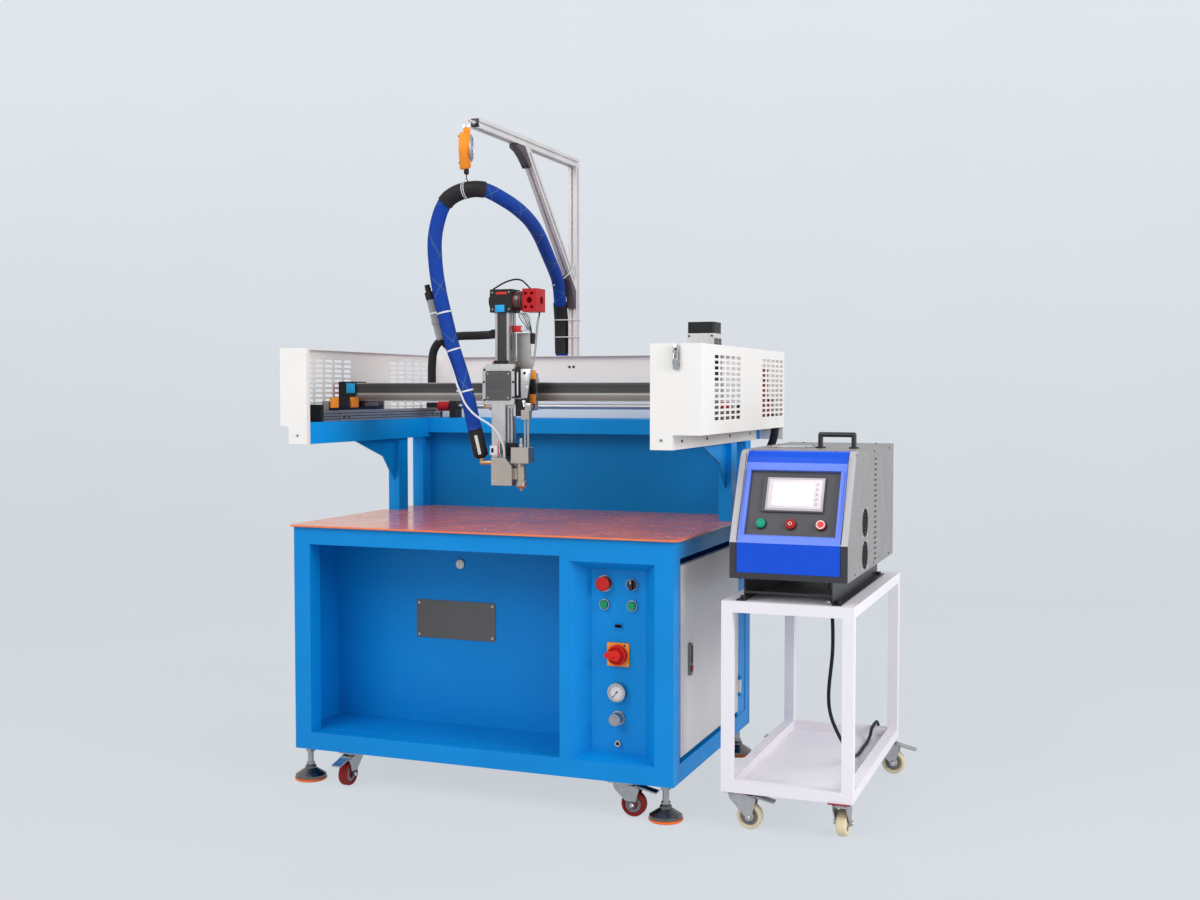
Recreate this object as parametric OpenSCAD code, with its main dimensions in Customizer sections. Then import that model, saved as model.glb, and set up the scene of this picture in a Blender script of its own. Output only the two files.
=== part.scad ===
// Hot melt glue dispensing machine: a steel bench with a three-axis gantry over its table,
// a heated hose hung from a spring balancer, and a melter that stands on its own trolley.
// The part stands on the floor at z = 0 with the front of the bench towards -Y.

/* [Bench] */
// Width of the bench frame
bench_w = 1200; // [1150:10:1400]
// Depth of the bench frame
bench_d = 800; // [780:10:900]
// Height of the top of the bench frame above the floor
bench_h = 772; // [740:1:820]
// Height of the underside of the bench frame above the floor
bench_clear = 100; // [98:1:106]
// Side of the square corner posts
post_w = 55; // [45:1:65]
// Height of the bench rails
rail_h = 52; // [40:1:60]
// Width of the post between the knee well and the cabinet
divider_w = 30; // [25:1:40]
// Width of the opening that holds the control panel
control_w = 250; // [230:1:280]
// Depth of the knee well from the front of the bench
knee_d = 243; // [180:1:320]
// Thickness of the sheet panels
sheet_t = 2; // [1.5:0.1:3]
// Thickness of the table top
top_t = 5; // [4:0.5:8]
// Overhang of the table top past the sides of the bench
top_side_over = 16; // [10:1:25]
// Overhang of the table top past the front of the bench
top_front_over = 10; // [5:1:25]
// Corner radius of the table top
top_corner_r = 22; // [10:1:40]

/* [Control panel] */
// Depth of the recessed control panel behind the front of the bench
pan_d = 58; // [45:1:70]
// Width of each slanted side of the recess
pan_side = 44; // [30:1:50]
// Height of the slanted top of the recess
pan_top = 26; // [15:1:40]
// Height of the slanted bottom of the recess
pan_bottom = 16; // [10:1:30]
// Distance between the two columns of buttons
button_pitch = 82; // [70:1:90]
// Radius of the start buttons
start_r = 11; // [9:0.5:13]
// Radius of the emergency stop head
estop_r = 20; // [16:0.5:22]
// Radius of the selector knob
selector_r = 14; // [10:0.5:15]
// Radius of the main switch knob
main_switch_r = 24; // [18:0.5:26]
// Side of the square plate behind the main switch
main_plate_w = 66; // [60:1:72]
// Radius of the pressure gauge
gauge_r = 26; // [20:0.5:30]
// Radius of the pressure regulator knob
regulator_r = 17; // [12:0.5:20]
// Travel of the start buttons
start_travel = 3; // [2:0.5:4]
// Travel of the emergency stop head
estop_travel = 5; // [3:0.5:6]

/* [Side door] */
// Distance from the front of the bench to the front edge of the door
door_y = 60; // [58:1:90]
// Width of the door
door_w = 590; // [560:1:600]
// Distance from the top of the bench's frame down to the door
door_drop = 72; // [62:1:130]
// Depth of the folded edge of the door
door_edge = 16; // [10:1:20]

/* [Gantry frame] */
// Height of the top of the gantry arms above the floor
arm_top = 1085; // [1060:1:1140]
// Height of the gantry arms
arm_h = 65; // [50:1:70]
// Width of the gantry arms
arm_w = 60; // [56:1:70]
// Length by which the arms pass the rear of the bench
arm_rear = 120; // [110:1:160]
// Width of the upright posts across the machine
upright_w = 40; // [30:1:50]
// Depth of the upright posts
upright_d = 60; // [40:1:70]
// Distance from the front of the bench to the front uprights
upright_y = 571; // [540:1:600]
// Height of the rear beams of the gantry frame
beam_rail_h = 50; // [40:1:60]

/* [Covers] */
// Thickness of the cover sheet
cover_t = 2; // [1.5:0.1:3]
// Height of the covers above the gantry arms
cover_h = 221; // [210:1:250]
// Distance of the left cover outside the left arm
left_out = 30; // [20:1:60]
// Distance of the right cover outside the right arm
right_out = 80; // [70:1:120]
// Distance of the covers in front of the bench
cover_front = 20; // [10:1:40]
// Height of the lower edge of the covers above the foot of their front tab
cover_step = 48; // [30:1:60]
// Length of one vent slot
vent_l = 42; // [30:1:46]
// Height of one vent slot
vent_h = 9; // [6:0.5:11]
// Distance between vent slots along the cover
vent_pitch_y = 56; // [52:1:60]
// Distance between vent slots up the cover
vent_pitch_z = 15.5; // [13:0.5:17]

/* [Motion axes] */
// Width of the Y axis modules
y_axis_w = 54; // [44:1:58]
// Height of the Y axis modules
y_axis_h = 58; // [50:1:64]
// Distance from the front of the bench to the front of the Y axis modules
y_axis_front = 66; // [60:1:90]
// Distance from the front of the bench to the front of the X beam
beam_y = 270; // [250:1:300]
// Width of the X beam from front to back
beam_d = 60; // [50:1:66]
// Height of the X beam
beam_h = 56; // [48:1:62]
// Length of the Y carriages
carriage_l = 280; // [240:1:300]
// Distance of the dispensing head from the left side of the bench
head_x = 600; // [540:1:660]
// Width of the Z axis module
z_axis_w = 45; // [40:1:50]
// Depth of the Z axis module
z_axis_d = 50; // [44:1:56]
// Distance of the foot of the Z axis module below the X beam
z_drop = 145; // [130:1:150]
// Length of the Z axis module
z_axis_l = 408; // [390:1:430]
// Width of the head plate
head_w = 104; // [96:1:110]
// Height of the head plate
head_h = 112; // [100:1:120]
// Height of the nozzle tip above the table
nozzle_gap = 108; // [105:1:140]

/* [Hose stand] */
// Side of the square aluminium profile of the stand
profile_w = 30; // [28:1:32]
// Height of the top of the stand above the floor
stand_top = 1983; // [1900:1:2050]
// Distance of the stand from the left side of the bench
stand_x = 512; // [480:1:540]
// Distance of the end of the boom behind the front of the bench
boom_y = 169; // [140:1:200]
// Diameter of the heated hose
hose_d = 42.5; // [38:0.5:50]

/* [Trolley] */
// Gap between the bench and the trolley
trolley_gap = 130; // [125:1:200]
// Width of the trolley
trolley_w = 355; // [345:1:420]
// Depth of the trolley
trolley_d = 760; // [750:1:820]
// Distance of the front of the trolley behind the front of the bench
trolley_y = 10; // [0:1:40]
// Side of the square tube of the trolley
trolley_tube = 30; // [25:1:34]
// Height of the top of the trolley above the floor
trolley_top = 619; // [600:1:660]
// Height of the underside of the trolley above the floor
trolley_clear = 103; // [100:1:108]

/* [Casters and feet] */
// Radius of the caster wheels
wheel_r = 35; // [32:0.5:36]
// Width of the caster wheels
wheel_w = 30; // [26:1:32]
// Distance of the wheel axle from the swivel axis
caster_trail = 32; // [28:1:34]
// Gap under the bench wheels while the bench stands on its feet
bench_wheel_gap = 3; // [2:0.5:6]
// Gap under the trolley wheels
trolley_wheel_gap = 0.3; // [0.2:0.1:0.5]
// Radius of the levelling feet
foot_r = 46; // [40:1:48]
// Distance of the feet from the faces of the bench
foot_inset = 32; // [28:1:36]
// Height of the rubber pad under each foot
pad_h = 8; // [6:1:10]

/* [Melter] */
// Width of the melter
melter_w = 318; // [310:1:330]
// Depth of the melter
melter_d = 720; // [700:1:730]
// Height of the melter above its base rails
melter_h = 338; // [325:1:350]
// Height of the melter base rails
base_h = 61; // [50:1:70]
// Height of the upright part of the melter front
melter_front_h = 96; // [85:1:110]
// Distance by which the top edge of the front lies back
melter_lean = 110; // [90:1:130]
// Depth of the recessed panel behind the slanted front
melter_recess = 12; // [8:1:16]
// Radius of the melter buttons
melter_button_r = 13; // [10:0.5:14]
// Diameter of the power cord
cord_d = 10; // [8:0.5:12]

/* [Hidden] */

// Gap between pieces that move past each other
run_gap = 0.5;
// Gap between a carriage and the rail that it slides on
slide_gap = 0.3;
// Gap between pieces that only rest on each other
seat_gap = 0.2;

// Colours
blue = [0.04, 0.5, 0.84];
white = [0.93, 0.93, 0.92];
steel = [0.72, 0.73, 0.75];
alu = [0.78, 0.78, 0.77];
black = [0.08, 0.08, 0.09];
dark_grey = [0.27, 0.28, 0.31];
orange = [0.95, 0.55, 0.1];
red = [0.8, 0.12, 0.1];

// Bench places
cab_x = bench_w - post_w - control_w;
divider_x = cab_x - divider_w;
table_z = bench_h + top_t;
well_floor = bench_clear + rail_h;
well_top = bench_h - rail_h;

// Control panel places
pan_z0 = well_floor;
pan_z1 = well_top - 13;
pan_x = cab_x + control_w / 2;
pan_left = pan_x - button_pitch / 2;
pan_right = pan_x + button_pitch / 2;
pan_share = (pan_z1 - pan_z0) / 555;
estop_z = pan_z0 + 490 * pan_share;
start_z = pan_z0 + 431 * pan_share;
usb_z = pan_z0 + 371 * pan_share;
main_z = pan_z0 + 292 * pan_share;
gauge_z = pan_z0 + 188 * pan_share;
regulator_z = pan_z0 + 114 * pan_share;
port_z = pan_z0 + 42 * pan_share;
button_hole_r = 9;
stem_r = 8;

// Nameplate on the back panel of the knee well
plate_w = 270;
plate_h = 118;
plate_x = divider_x / 2 - plate_w / 2 - 13.5;
plate_z = well_floor + 264;

// Door places
door_z = well_floor + 18;
door_top = bench_h - door_drop;
hinge_x = bench_w + sheet_t + 5.2;
hinge_y = door_y + door_w + 3;
hinge_l = 40;
hinge_pin_r = 2.3;
hinge_z = [door_z + 60, door_top - 100];

// Gantry places
arm_bottom = arm_top - arm_h;
cover_top = arm_top + cover_h;
arm_end = bench_d + arm_rear;
rear_upright_y = bench_d - upright_d;
beam_rail_z = arm_top - beam_rail_h;

// Motion axis places
y_axis_x = (arm_w - y_axis_w) / 2;
y_axis_z = arm_top + seat_gap;
y_axis_top = y_axis_z + y_axis_h;
y_axis_end = arm_end - 70;
y_rail_top = y_axis_top - 26;
carriage_z = y_rail_top + slide_gap;
carriage_top = y_axis_top + 4;
beam_z = carriage_top + 1;
beam_mid_y = beam_y + beam_d / 2;
beam_x0 = -5;
beam_x1 = bench_w - 50;
shaft_y = y_axis_end - 40;
shaft_z = y_axis_top - 18;
shaft_r = 9;

// Head places, from the front of the X beam towards the front of the machine
saddle_t = 24;
saddle_w = 150;
saddle_h = 112;
saddle_y = beam_y - run_gap - saddle_t;
z_axis_bottom = beam_z - z_drop;
z_axis_y = saddle_y - z_axis_d;
z_slider_t = 16;
head_plate_t = 10;
head_y = z_axis_y - run_gap - z_slider_t - head_plate_t;
head_z = beam_z - 10;
z_axis_top = z_axis_bottom + z_axis_l;
nozzle_z = table_z + nozzle_gap;
gun_x = head_x + 74;
gun_y = head_y - 26;
gun_z = nozzle_z + 16;
gun_left = head_x - 12;
gun_h = 82;
elbow = [gun_left - 40, gun_y + 24, gun_z + 66];
elbow_lean = 14;

// Stand places
stand_y = arm_end + 7;
stand_mid_x = stand_x + profile_w / 2;
boom_z = stand_top - profile_w;
balancer_y = boom_y - 54;
balancer_z = stand_top - 98;
balancer_r = 46;
hook_z = boom_z + profile_w / 2 - 14;

// Trolley places
trolley_x = bench_w + trolley_gap;
shelf_z = trolley_clear + 2;
melter_x = trolley_x + (trolley_w - melter_w) / 2;
melter_y = trolley_y + 10;
melter_z = trolley_top + base_h;
melter_mid_x = melter_x + melter_w / 2;
melter_sheet = 3;
melter_border = 20;
fan_y = melter_y + 242;
fan_z = [melter_z + 47, melter_z + 137];
handle_x = [melter_mid_x + 22, melter_mid_x + 116];
handle_y = melter_y + 300;
melter_button_s = 58;
melter_button_pitch = 81;
link_gland = [melter_x + 76, melter_y + melter_d, melter_z + 268];
lean_run = melter_h - melter_front_h;
lean_angle = atan(melter_lean / lean_run);
cord_exit = [trolley_x + 281, trolley_y + 82];
hose_inlet_r = hose_d / 2 + 4.5;
link_outlet_r = 15.5;

// Casters: place of the swivel axis and direction in which the wheel trails
bench_casters = [
    [178, 38, -90],
    [bench_w - 155, 30, 0],
    [155, bench_d - 38, 90],
    [bench_w - 155, bench_d - 38, 90]];
trolley_casters = [
    [trolley_x + 40, trolley_y + 38, 0],
    [trolley_x + trolley_w - 36, trolley_y + 34, 90],
    [trolley_x + 40, trolley_y + trolley_d - 38, 180],
    [trolley_x + trolley_w - 40, trolley_y + trolley_d - 38, 0]];
caster_plate_t = 3;
caster_cup_t = 4;
pedal_reach = 100;
axle_r = 4;
kingpin_r = 5;

// The part's origin lies under the middle of the whole machine
left_edge = -left_out;
right_edge = trolley_casters[3][0] + pedal_reach;
front_edge = bench_casters[0][1] - pedal_reach;
rear_edge = stand_y + profile_w;
mid_x = (left_edge + right_edge) / 2;
mid_y = (front_edge + rear_edge) / 2;

module at_machine() translate([-mid_x, -mid_y, 0]) children();

// Straight-sided block between two corners
module block(a, b) translate(a) cube([b[0] - a[0], b[1] - a[1], b[2] - a[2]]);

// Plate drawn in the X-Z plane, from y to y + t
module plate_xz(y, t) translate([0, y + t, 0]) rotate([90, 0, 0]) linear_extrude(t) children();

// Plate drawn in the Y-Z plane, from x to x + t
module plate_yz(x, t) translate([x, 0, 0]) rotate([90, 0, 90]) linear_extrude(t) children();

// Rectangle with round corners
module round_rect(w, h, r) {
    translate([r, 0]) square([w - 2 * r, h]);
    translate([0, r]) square([w, h - 2 * r]);
    for (x = [r, w - r]) for (y = [r, h - r]) translate([x, y]) circle(r, $fn = 32);
}

// Cylinder along Y that starts at y and runs towards the rear
module rod_y(x, y, z, r, l) translate([x, y, z]) rotate([-90, 0, 0]) cylinder(r = r, h = l, $fn = 48);

// Cylinder along X that starts at x and runs to the right
module rod_x(x, y, z, r, l) translate([x, y, z]) rotate([0, 90, 0]) cylinder(r = r, h = l, $fn = 48);

// Round tube swept along hand-placed points, with n sides
function unit(v) = v / max(norm(v), 0.0001);
function tangent(p, i) = unit(p[min(i + 1, len(p) - 1)] - p[max(i - 1, 0)]);
function carried_side(p, i, u) = let (t = tangent(p, i), v = unit(u - (u * t) * t))
    i == len(p) - 1 ? [v] : concat([v], carried_side(p, i + 1, v));
function ring(p, i, u, r, n) = let (v = cross(tangent(p, i), u))
    [for (k = [0:n - 1]) p[i] + r * (cos(360 * k / n) * u + sin(360 * k / n) * v)];
module swept_tube(p, first, last, d, n) {
    m = last - first + 1;
    sides = carried_side(p, 0, [0.1, 0.9, 0.4]);
    polyhedron(
        points = [for (i = [first:last]) each ring(p, i, sides[i], d / 2, n)],
        faces = concat(
            [[for (k = [0:n - 1]) k]],
            [for (i = [0:m - 2]) for (k = [0:n - 1]) let (a = i * n + k, b = i * n + (k + 1) % n)
                each [[a, a + n, b + n], [a, b + n, b]]],
            [[for (k = [0:n - 1]) (m - 1) * n + n - 1 - k]]));
}

// Steel frame of the bench, welded from square tube
module bench_frame() at_machine() color(blue) {
    for (x = [0, bench_w - post_w]) for (y = [0, bench_d - post_w])
        translate([x, y, bench_clear]) cube([post_w, post_w, bench_h - bench_clear]);
    for (z = [bench_clear, bench_h - rail_h]) {
        for (y = [0, bench_d - post_w]) translate([0, y, z]) cube([bench_w, post_w, rail_h]);
        for (x = [0, bench_w - post_w]) translate([x, 0, z]) cube([post_w, bench_d, rail_h]);
        translate([divider_x, 0, z]) cube([divider_w, bench_d, rail_h]);
    }
    for (y = [0, bench_d - post_w])
        translate([divider_x, y, bench_clear]) cube([divider_w, post_w, bench_h - bench_clear]);
}

// Sheet panels that close the bench: sides, back, cabinet wall, and the knee well's back and floor
module bench_panels() at_machine() color(blue) {
    zc = well_top - well_floor;
    wall_x = divider_x + divider_w / 2;
    for (x = [sheet_t, wall_x]) translate([x, post_w, well_floor])
        cube([sheet_t, bench_d - 2 * post_w, zc]);
    block([sheet_t, knee_d, well_floor], [wall_x + sheet_t, knee_d + sheet_t, well_top]);
    block([sheet_t, post_w, well_floor], [wall_x + sheet_t, knee_d + sheet_t, well_floor + sheet_t]);
    for (x = [[post_w, divider_x], [cab_x, bench_w - post_w]])
        block([x[0] + seat_gap, bench_d - 2 * sheet_t, well_floor],
            [x[1] - seat_gap, bench_d - sheet_t, well_top]);
    // Fixed strip behind the side door, with the hinge pins and their outer knuckles
    block([bench_w - 2 * sheet_t, hinge_y + 2, well_floor],
        [bench_w - sheet_t, bench_d - post_w, well_top]);
    for (z = hinge_z) {
        translate([hinge_x, hinge_y, z - 12]) cylinder(r = hinge_pin_r, h = hinge_l + 24, $fn = 32);
        for (zk = [z - 12, z + hinge_l + run_gap]) {
            translate([hinge_x, hinge_y, zk]) cylinder(r = 5, h = 12 - run_gap, $fn = 32);
            block([bench_w - 2 * sheet_t, hinge_y + 2, zk], [hinge_x, hinge_y + 8, zk + 12 - run_gap]);
        }
    }
}

// Recessed control panel with slanted sides
module pan_block(grow) {
    hull() {
        block([cab_x - grow, -grow, pan_z0 - grow],
            [cab_x + control_w + grow, 0.01 - grow, pan_z1 + grow]);
        block([cab_x + pan_side - grow, pan_d - 0.01, pan_z0 + pan_bottom - grow],
            [cab_x + control_w - pan_side + grow, pan_d + grow, pan_z1 - pan_top + grow]);
    }
}
module control_panel() at_machine() color(blue) difference() {
    joint = seat_gap / 2;
    union() {
        intersection() {
            pan_block(sheet_t);
            block([cab_x + run_gap / 5, 0, pan_z0 + run_gap / 5],
                [cab_x + control_w - run_gap / 5, pan_d + sheet_t, well_top - run_gap / 5]);
        }
        block([cab_x + run_gap / 5, 0, pan_z1], [cab_x + control_w - run_gap / 5, sheet_t, well_top - run_gap / 5]);
    }
    pan_block(0);
    for (p = [[pan_left, estop_z], [pan_right, estop_z], [pan_left, start_z], [pan_right, start_z],
            [pan_x, main_z], [pan_x, regulator_z]])
        rod_y(p[0], pan_d - 1, p[1], button_hole_r, sheet_t + 2);
    block([pan_x - 10, pan_d - 1, usb_z - 5], [pan_x + 10, pan_d + sheet_t + 1, usb_z + 5]);
    // Joint between the slanted walls and the back sheet
    block([cab_x - 1, pan_d - seat_gap, pan_z0 - 1], [cab_x + control_w + 1, pan_d, well_top + 1]);
    // Joints between the two side walls and the walls over and under them
    for (side = [0, 1]) translate([cab_x + side * control_w, 0, pan_z0 - 1]) mirror([side, 0, 0])
        linear_extrude(well_top - pan_z0 + 2) polygon([
            [-pan_side / pan_d - joint / 2, -1], [-pan_side / pan_d + 2 * joint, -1],
            [pan_side + 2 * joint, pan_d - joint], [pan_side - joint / 2, pan_d - joint]]);
}

// Bezels, guards and collars on the control panel, the gauge, the nameplate and the cam lock
module collar(x, z, r, bore, h) difference() {
    rod_y(x, pan_d - h, z, r, h - seat_gap);
    rod_y(x, pan_d - h - 1, z, bore, h + 2);
}
module panel_fittings() at_machine() color(steel) {
    collar(pan_left, estop_z, 21, stem_r + run_gap, 3);
    for (x = [pan_left, pan_right]) collar(x, start_z, 15, start_r + run_gap, 6);
    collar(pan_right, estop_z, 16, selector_r + run_gap, 6);
    difference() {
        plate_xz(pan_d - 5, 5 - seat_gap) translate([pan_x - main_plate_w / 2, main_z - main_plate_w / 2])
            round_rect(main_plate_w, main_plate_w, 4);
        rod_y(pan_x, pan_d - 6, main_z, stem_r + run_gap, 7);
    }
    difference() {
        block([pan_x - 13, pan_d - 3, usb_z - 8], [pan_x + 13, pan_d - seat_gap, usb_z + 8]);
        block([pan_x - 7, pan_d - 4, usb_z - 3], [pan_x + 7, pan_d + 1, usb_z + 3]);
    }
    // Gauge with a raised rim
    difference() {
        rod_y(pan_x, pan_d - 18, gauge_z, gauge_r, 18 - seat_gap);
        rod_y(pan_x, pan_d - 19, gauge_z, gauge_r - 4, 3);
    }
    collar(pan_x, regulator_z, 20, stem_r + run_gap, 4);
    // Air port with a threaded bore
    difference() {
        rod_y(pan_x, pan_d - 8, port_z, 9, 8 - seat_gap);
        rod_y(pan_x, pan_d - 9, port_z, 4, 7);
    }
    // Bare nameplate on the knee well's back panel, with its corner screws
    plate_xz(knee_d - 2, 2 - seat_gap) translate([plate_x, plate_z]) round_rect(plate_w, plate_h, 8);
    for (x = [plate_x + 10, plate_x + plate_w - 10]) for (z = [plate_z + 10, plate_z + plate_h - 10])
        rod_y(x, knee_d - 4, z, 4, 2.2);
    // Cam lock of the knee well's back panel
    rod_y(plate_x + plate_w / 2 + 18, knee_d - 7, well_top - 71, 14, 7 - seat_gap);
}

// White door in the right side of the cabinet, folded from one sheet
module side_door() at_machine() {
    outer = bench_w + sheet_t;
    color(white) {
        difference() {
            block([outer - door_edge, door_y, door_z], [outer, door_y + door_w, door_top]);
            block([outer - door_edge - 1, door_y + sheet_t, door_z + sheet_t],
                [bench_w, door_y + door_w - sheet_t, door_top - sheet_t]);
        }
        for (z = hinge_z) difference() {
            union() {
                block([outer - 0.1, hinge_y - 20, z], [outer + 2, hinge_y - 3, z + hinge_l]);
                block([outer, hinge_y - 4.5, z], [hinge_x, hinge_y - 2, z + hinge_l]);
                translate([hinge_x, hinge_y, z]) cylinder(r = 5, h = hinge_l, $fn = 32);
            }
            translate([hinge_x, hinge_y, z - 1]) cylinder(r = hinge_pin_r + 0.05, h = hinge_l + 2, $fn = 32);
        }
    }
    // Handle strip with its push button
    color(black) plate_yz(outer + seat_gap, 8) translate([door_y + 62, door_z + 214])
        round_rect(26, 92, 10);
    color(red) rod_x(outer + 8 + 2 * seat_gap, door_y + 75, door_z + 234, 7, 3);
}

// Table top with notches round the uprights of the gantry
module table_top() at_machine() color([0.85, 0.35, 0.25]) difference() {
    translate([-top_side_over, -top_front_over, bench_h]) linear_extrude(top_t)
        round_rect(bench_w + 2 * top_side_over, bench_d + top_front_over, top_corner_r);
    for (x = [-1, bench_w - upright_w - 1]) for (y = [upright_y - 1, rear_upright_y - 1])
        translate([x - (x < 0 ? top_side_over : 0), y, bench_h - 1])
            cube([upright_w + 2 + top_side_over, upright_d + 2, top_t + 2]);
    // The back wall stands behind the table's rear edge
    block([upright_w, bench_d - 10 - run_gap, bench_h - 1],
        [bench_w - upright_w, bench_d + 1, table_z + 1]);
}

// Blue wall behind the table
module back_wall() at_machine() color(blue) {
    x0 = upright_w + 1;
    x1 = bench_w - upright_w - 1;
    block([x0, bench_d - 10, bench_h + seat_gap], [x1, bench_d - 10 + sheet_t, arm_bottom - seat_gap]);
    block([arm_w + 1, bench_d - 10, arm_bottom - 1], [bench_w - arm_w - 1, bench_d - 10 + sheet_t,
        beam_rail_z - seat_gap]);
    block([arm_w + 1, bench_d - 24, beam_rail_z - 2], [bench_w - arm_w - 1, bench_d - 9,
        beam_rail_z - seat_gap]);
}

// Gantry frame: four uprights, two arms, cross beams and corner gussets
module gusset(x) plate_yz(x, 6) polygon([
    [upright_y - 256, arm_bottom], [upright_y - 71, arm_bottom - 60],
    [upright_y, arm_bottom - 142], [upright_y, arm_bottom]]);
module gantry_frame() at_machine() color(blue) {
    for (x = [0, bench_w - upright_w]) for (y = [upright_y, rear_upright_y])
        translate([x, y, bench_h]) cube([upright_w, upright_d, arm_top - bench_h - 1]);
    for (x = [0, bench_w - arm_w]) translate([x, 0, arm_bottom]) cube([arm_w, arm_end, arm_h]);
    for (y = [rear_upright_y, arm_end - 60])
        translate([arm_w - 1, y, beam_rail_z]) cube([bench_w - 2 * arm_w + 2, 60, beam_rail_h]);
    gusset(17);
    gusset(bench_w - 23);
}

// Vent slots of a cover wall, in two groups of columns
module vent_group(y, columns) for (i = [0:columns - 1]) for (k = [0:11])
    translate([y + i * vent_pitch_y, cover_top - 22 - (k + 1) * vent_pitch_z]) square([vent_l, vent_h]);

// Side cover: outer wall with vents, lower step, flange on the arm, front plate with its tab
module side_cover(out, step) {
    y1 = arm_end + 4;
    low = arm_bottom + step;
    arm_side = -seat_gap - cover_t;
    plate_yz(-out, cover_t) difference() {
        translate([-cover_front, low]) square([y1 + cover_front, cover_top - low]);
        vent_group(112, 5);
        vent_group(636, 5);
    }
    // Folded lip along the top edge
    block([-out, -cover_front, cover_top - cover_t], [-out + 22, y1, cover_top]);
    // Step under the outer wall and the flange that is screwed to the arm
    block([-out, -cover_front, low], [arm_side + cover_t, y1, low + cover_t]);
    block([arm_side, -cover_front, arm_bottom], [arm_side + cover_t, y1 - 60, low + cover_t]);
    // Front plate, its inner flange, and the tab that covers the end of the arm
    plate_xz(-cover_front, cover_t) {
        translate([-out, low]) square([out + arm_w + 2, cover_top - low]);
        translate([arm_side, arm_bottom]) square([arm_w + 2 - arm_side, low - arm_bottom + 1]);
    }
    block([arm_w, -cover_front, arm_bottom], [arm_w + 2, -cover_front + 18, cover_top]);
    block([-out, -cover_front, cover_top - cover_t], [arm_w + 2, -cover_front + 18, cover_top]);
    // Rear plate
    plate_xz(y1 - cover_t, cover_t) {
        translate([-out, low]) square([out + arm_w, cover_top - low]);
        translate([-out + 4, arm_bottom]) square([out - 4 - seat_gap, low - arm_bottom + 1]);
    }
}
module left_cover() at_machine() color(white) difference() {
    side_cover(left_out, cover_step + 5);
    cover_screws();
}
module right_cover() at_machine() color(white) {
    difference() {
        translate([bench_w, 0, 0]) mirror([1, 0, 0]) side_cover(right_out, cover_step - 8);
        translate([bench_w, 0, 0]) mirror([1, 0, 0]) cover_screws();
        // Inlet of the hose in the rear plate, long enough for a hose that comes in at a slant
        for (x = [bench_w - 26, bench_w + 18]) rod_y(x, arm_end - 10, hose_run_z, hose_inlet_r, 30);
        block([bench_w - 26, arm_end - 10, hose_run_z - hose_inlet_r],
            [bench_w + 18, arm_end + 20, hose_run_z + hose_inlet_r]);
        // Outlet of the hose link in the step
        translate([link_path[4][0], link_path[4][1], link_path[4][2] - 10])
            cylinder(r = link_outlet_r, h = 20, $fn = 48);
    }
    // Toggle latch on the front plate
    block([bench_w + 4, -cover_front - 6, cover_top - 68], [bench_w + 22, -cover_front - seat_gap,
        cover_top - 6]);
}
module cover_screws() {
    rod_y(arm_w / 2, -cover_front - 1, arm_bottom + 26, 3, cover_t + 2);
    for (y = [60, 300, 540]) rod_x(-seat_gap - cover_t - 1, y, arm_bottom + 22, 2.5, cover_t + 1.5);
}

// Rear cover: a wall between the side covers, with folded lips
module rear_cover() at_machine() color(white) difference() {
    x0 = arm_w + 1;
    x1 = bench_w - arm_w - 1;
    y0 = arm_end + seat_gap;
    union() {
        block([x0, y0, beam_rail_z + 5], [x1, y0 + cover_t, cover_top - 6]);
        block([x0, y0 - 18, cover_top - 6 - cover_t], [x1, y0 + cover_t, cover_top - 6]);
    }
    for (x = [stand_mid_x - 8, stand_mid_x + 8]) rod_y(x, y0 - 1, cover_top - 44, 3, cover_t + 2);
}

// Levelling feet, and the top plates of the bench casters
module foot_places() for (x = [foot_inset, bench_w - foot_inset]) for (y = [foot_inset, bench_d - foot_inset])
    translate([x, y, 0]) children();
module levelling_foot() {
    rotate_extrude($fn = 64) polygon([
        [0, pad_h + seat_gap], [foot_r, pad_h + seat_gap], [foot_r, pad_h + 8], [17, pad_h + 27],
        [17, pad_h + 33], [13, pad_h + 36], [13, pad_h + 44], [9, pad_h + 44], [9, bench_clear],
        [0, bench_clear]]);
    translate([0, 0, bench_clear - 14]) cylinder(r = 15, h = 13.5, $fn = 6);
}
module caster_plate(top) {
    difference() {
        union() {
            translate([-38, -30, top - caster_plate_t]) linear_extrude(caster_plate_t) round_rect(76, 60, 5);
            translate([0, 0, top - caster_plate_t - caster_cup_t]) cylinder(r = 27, h = caster_cup_t, $fn = 48);
        }
        translate([0, 0, top - 8]) cylinder(r = kingpin_r + 0.3, h = 9, $fn = 32);
    }
}
module feet_and_caster_plates() at_machine() color(steel) {
    foot_places() levelling_foot();
    for (c = bench_casters) translate([c[0], c[1], 0]) rotate(c[2]) caster_plate(bench_clear - seat_gap);
}
module foot_pads() at_machine() color(orange) foot_places() rotate_extrude($fn = 64)
    polygon([[0, 0], [foot_r - 2, 0], [foot_r + 2, 3], [foot_r + 2, pad_h], [0, pad_h]]);

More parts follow.
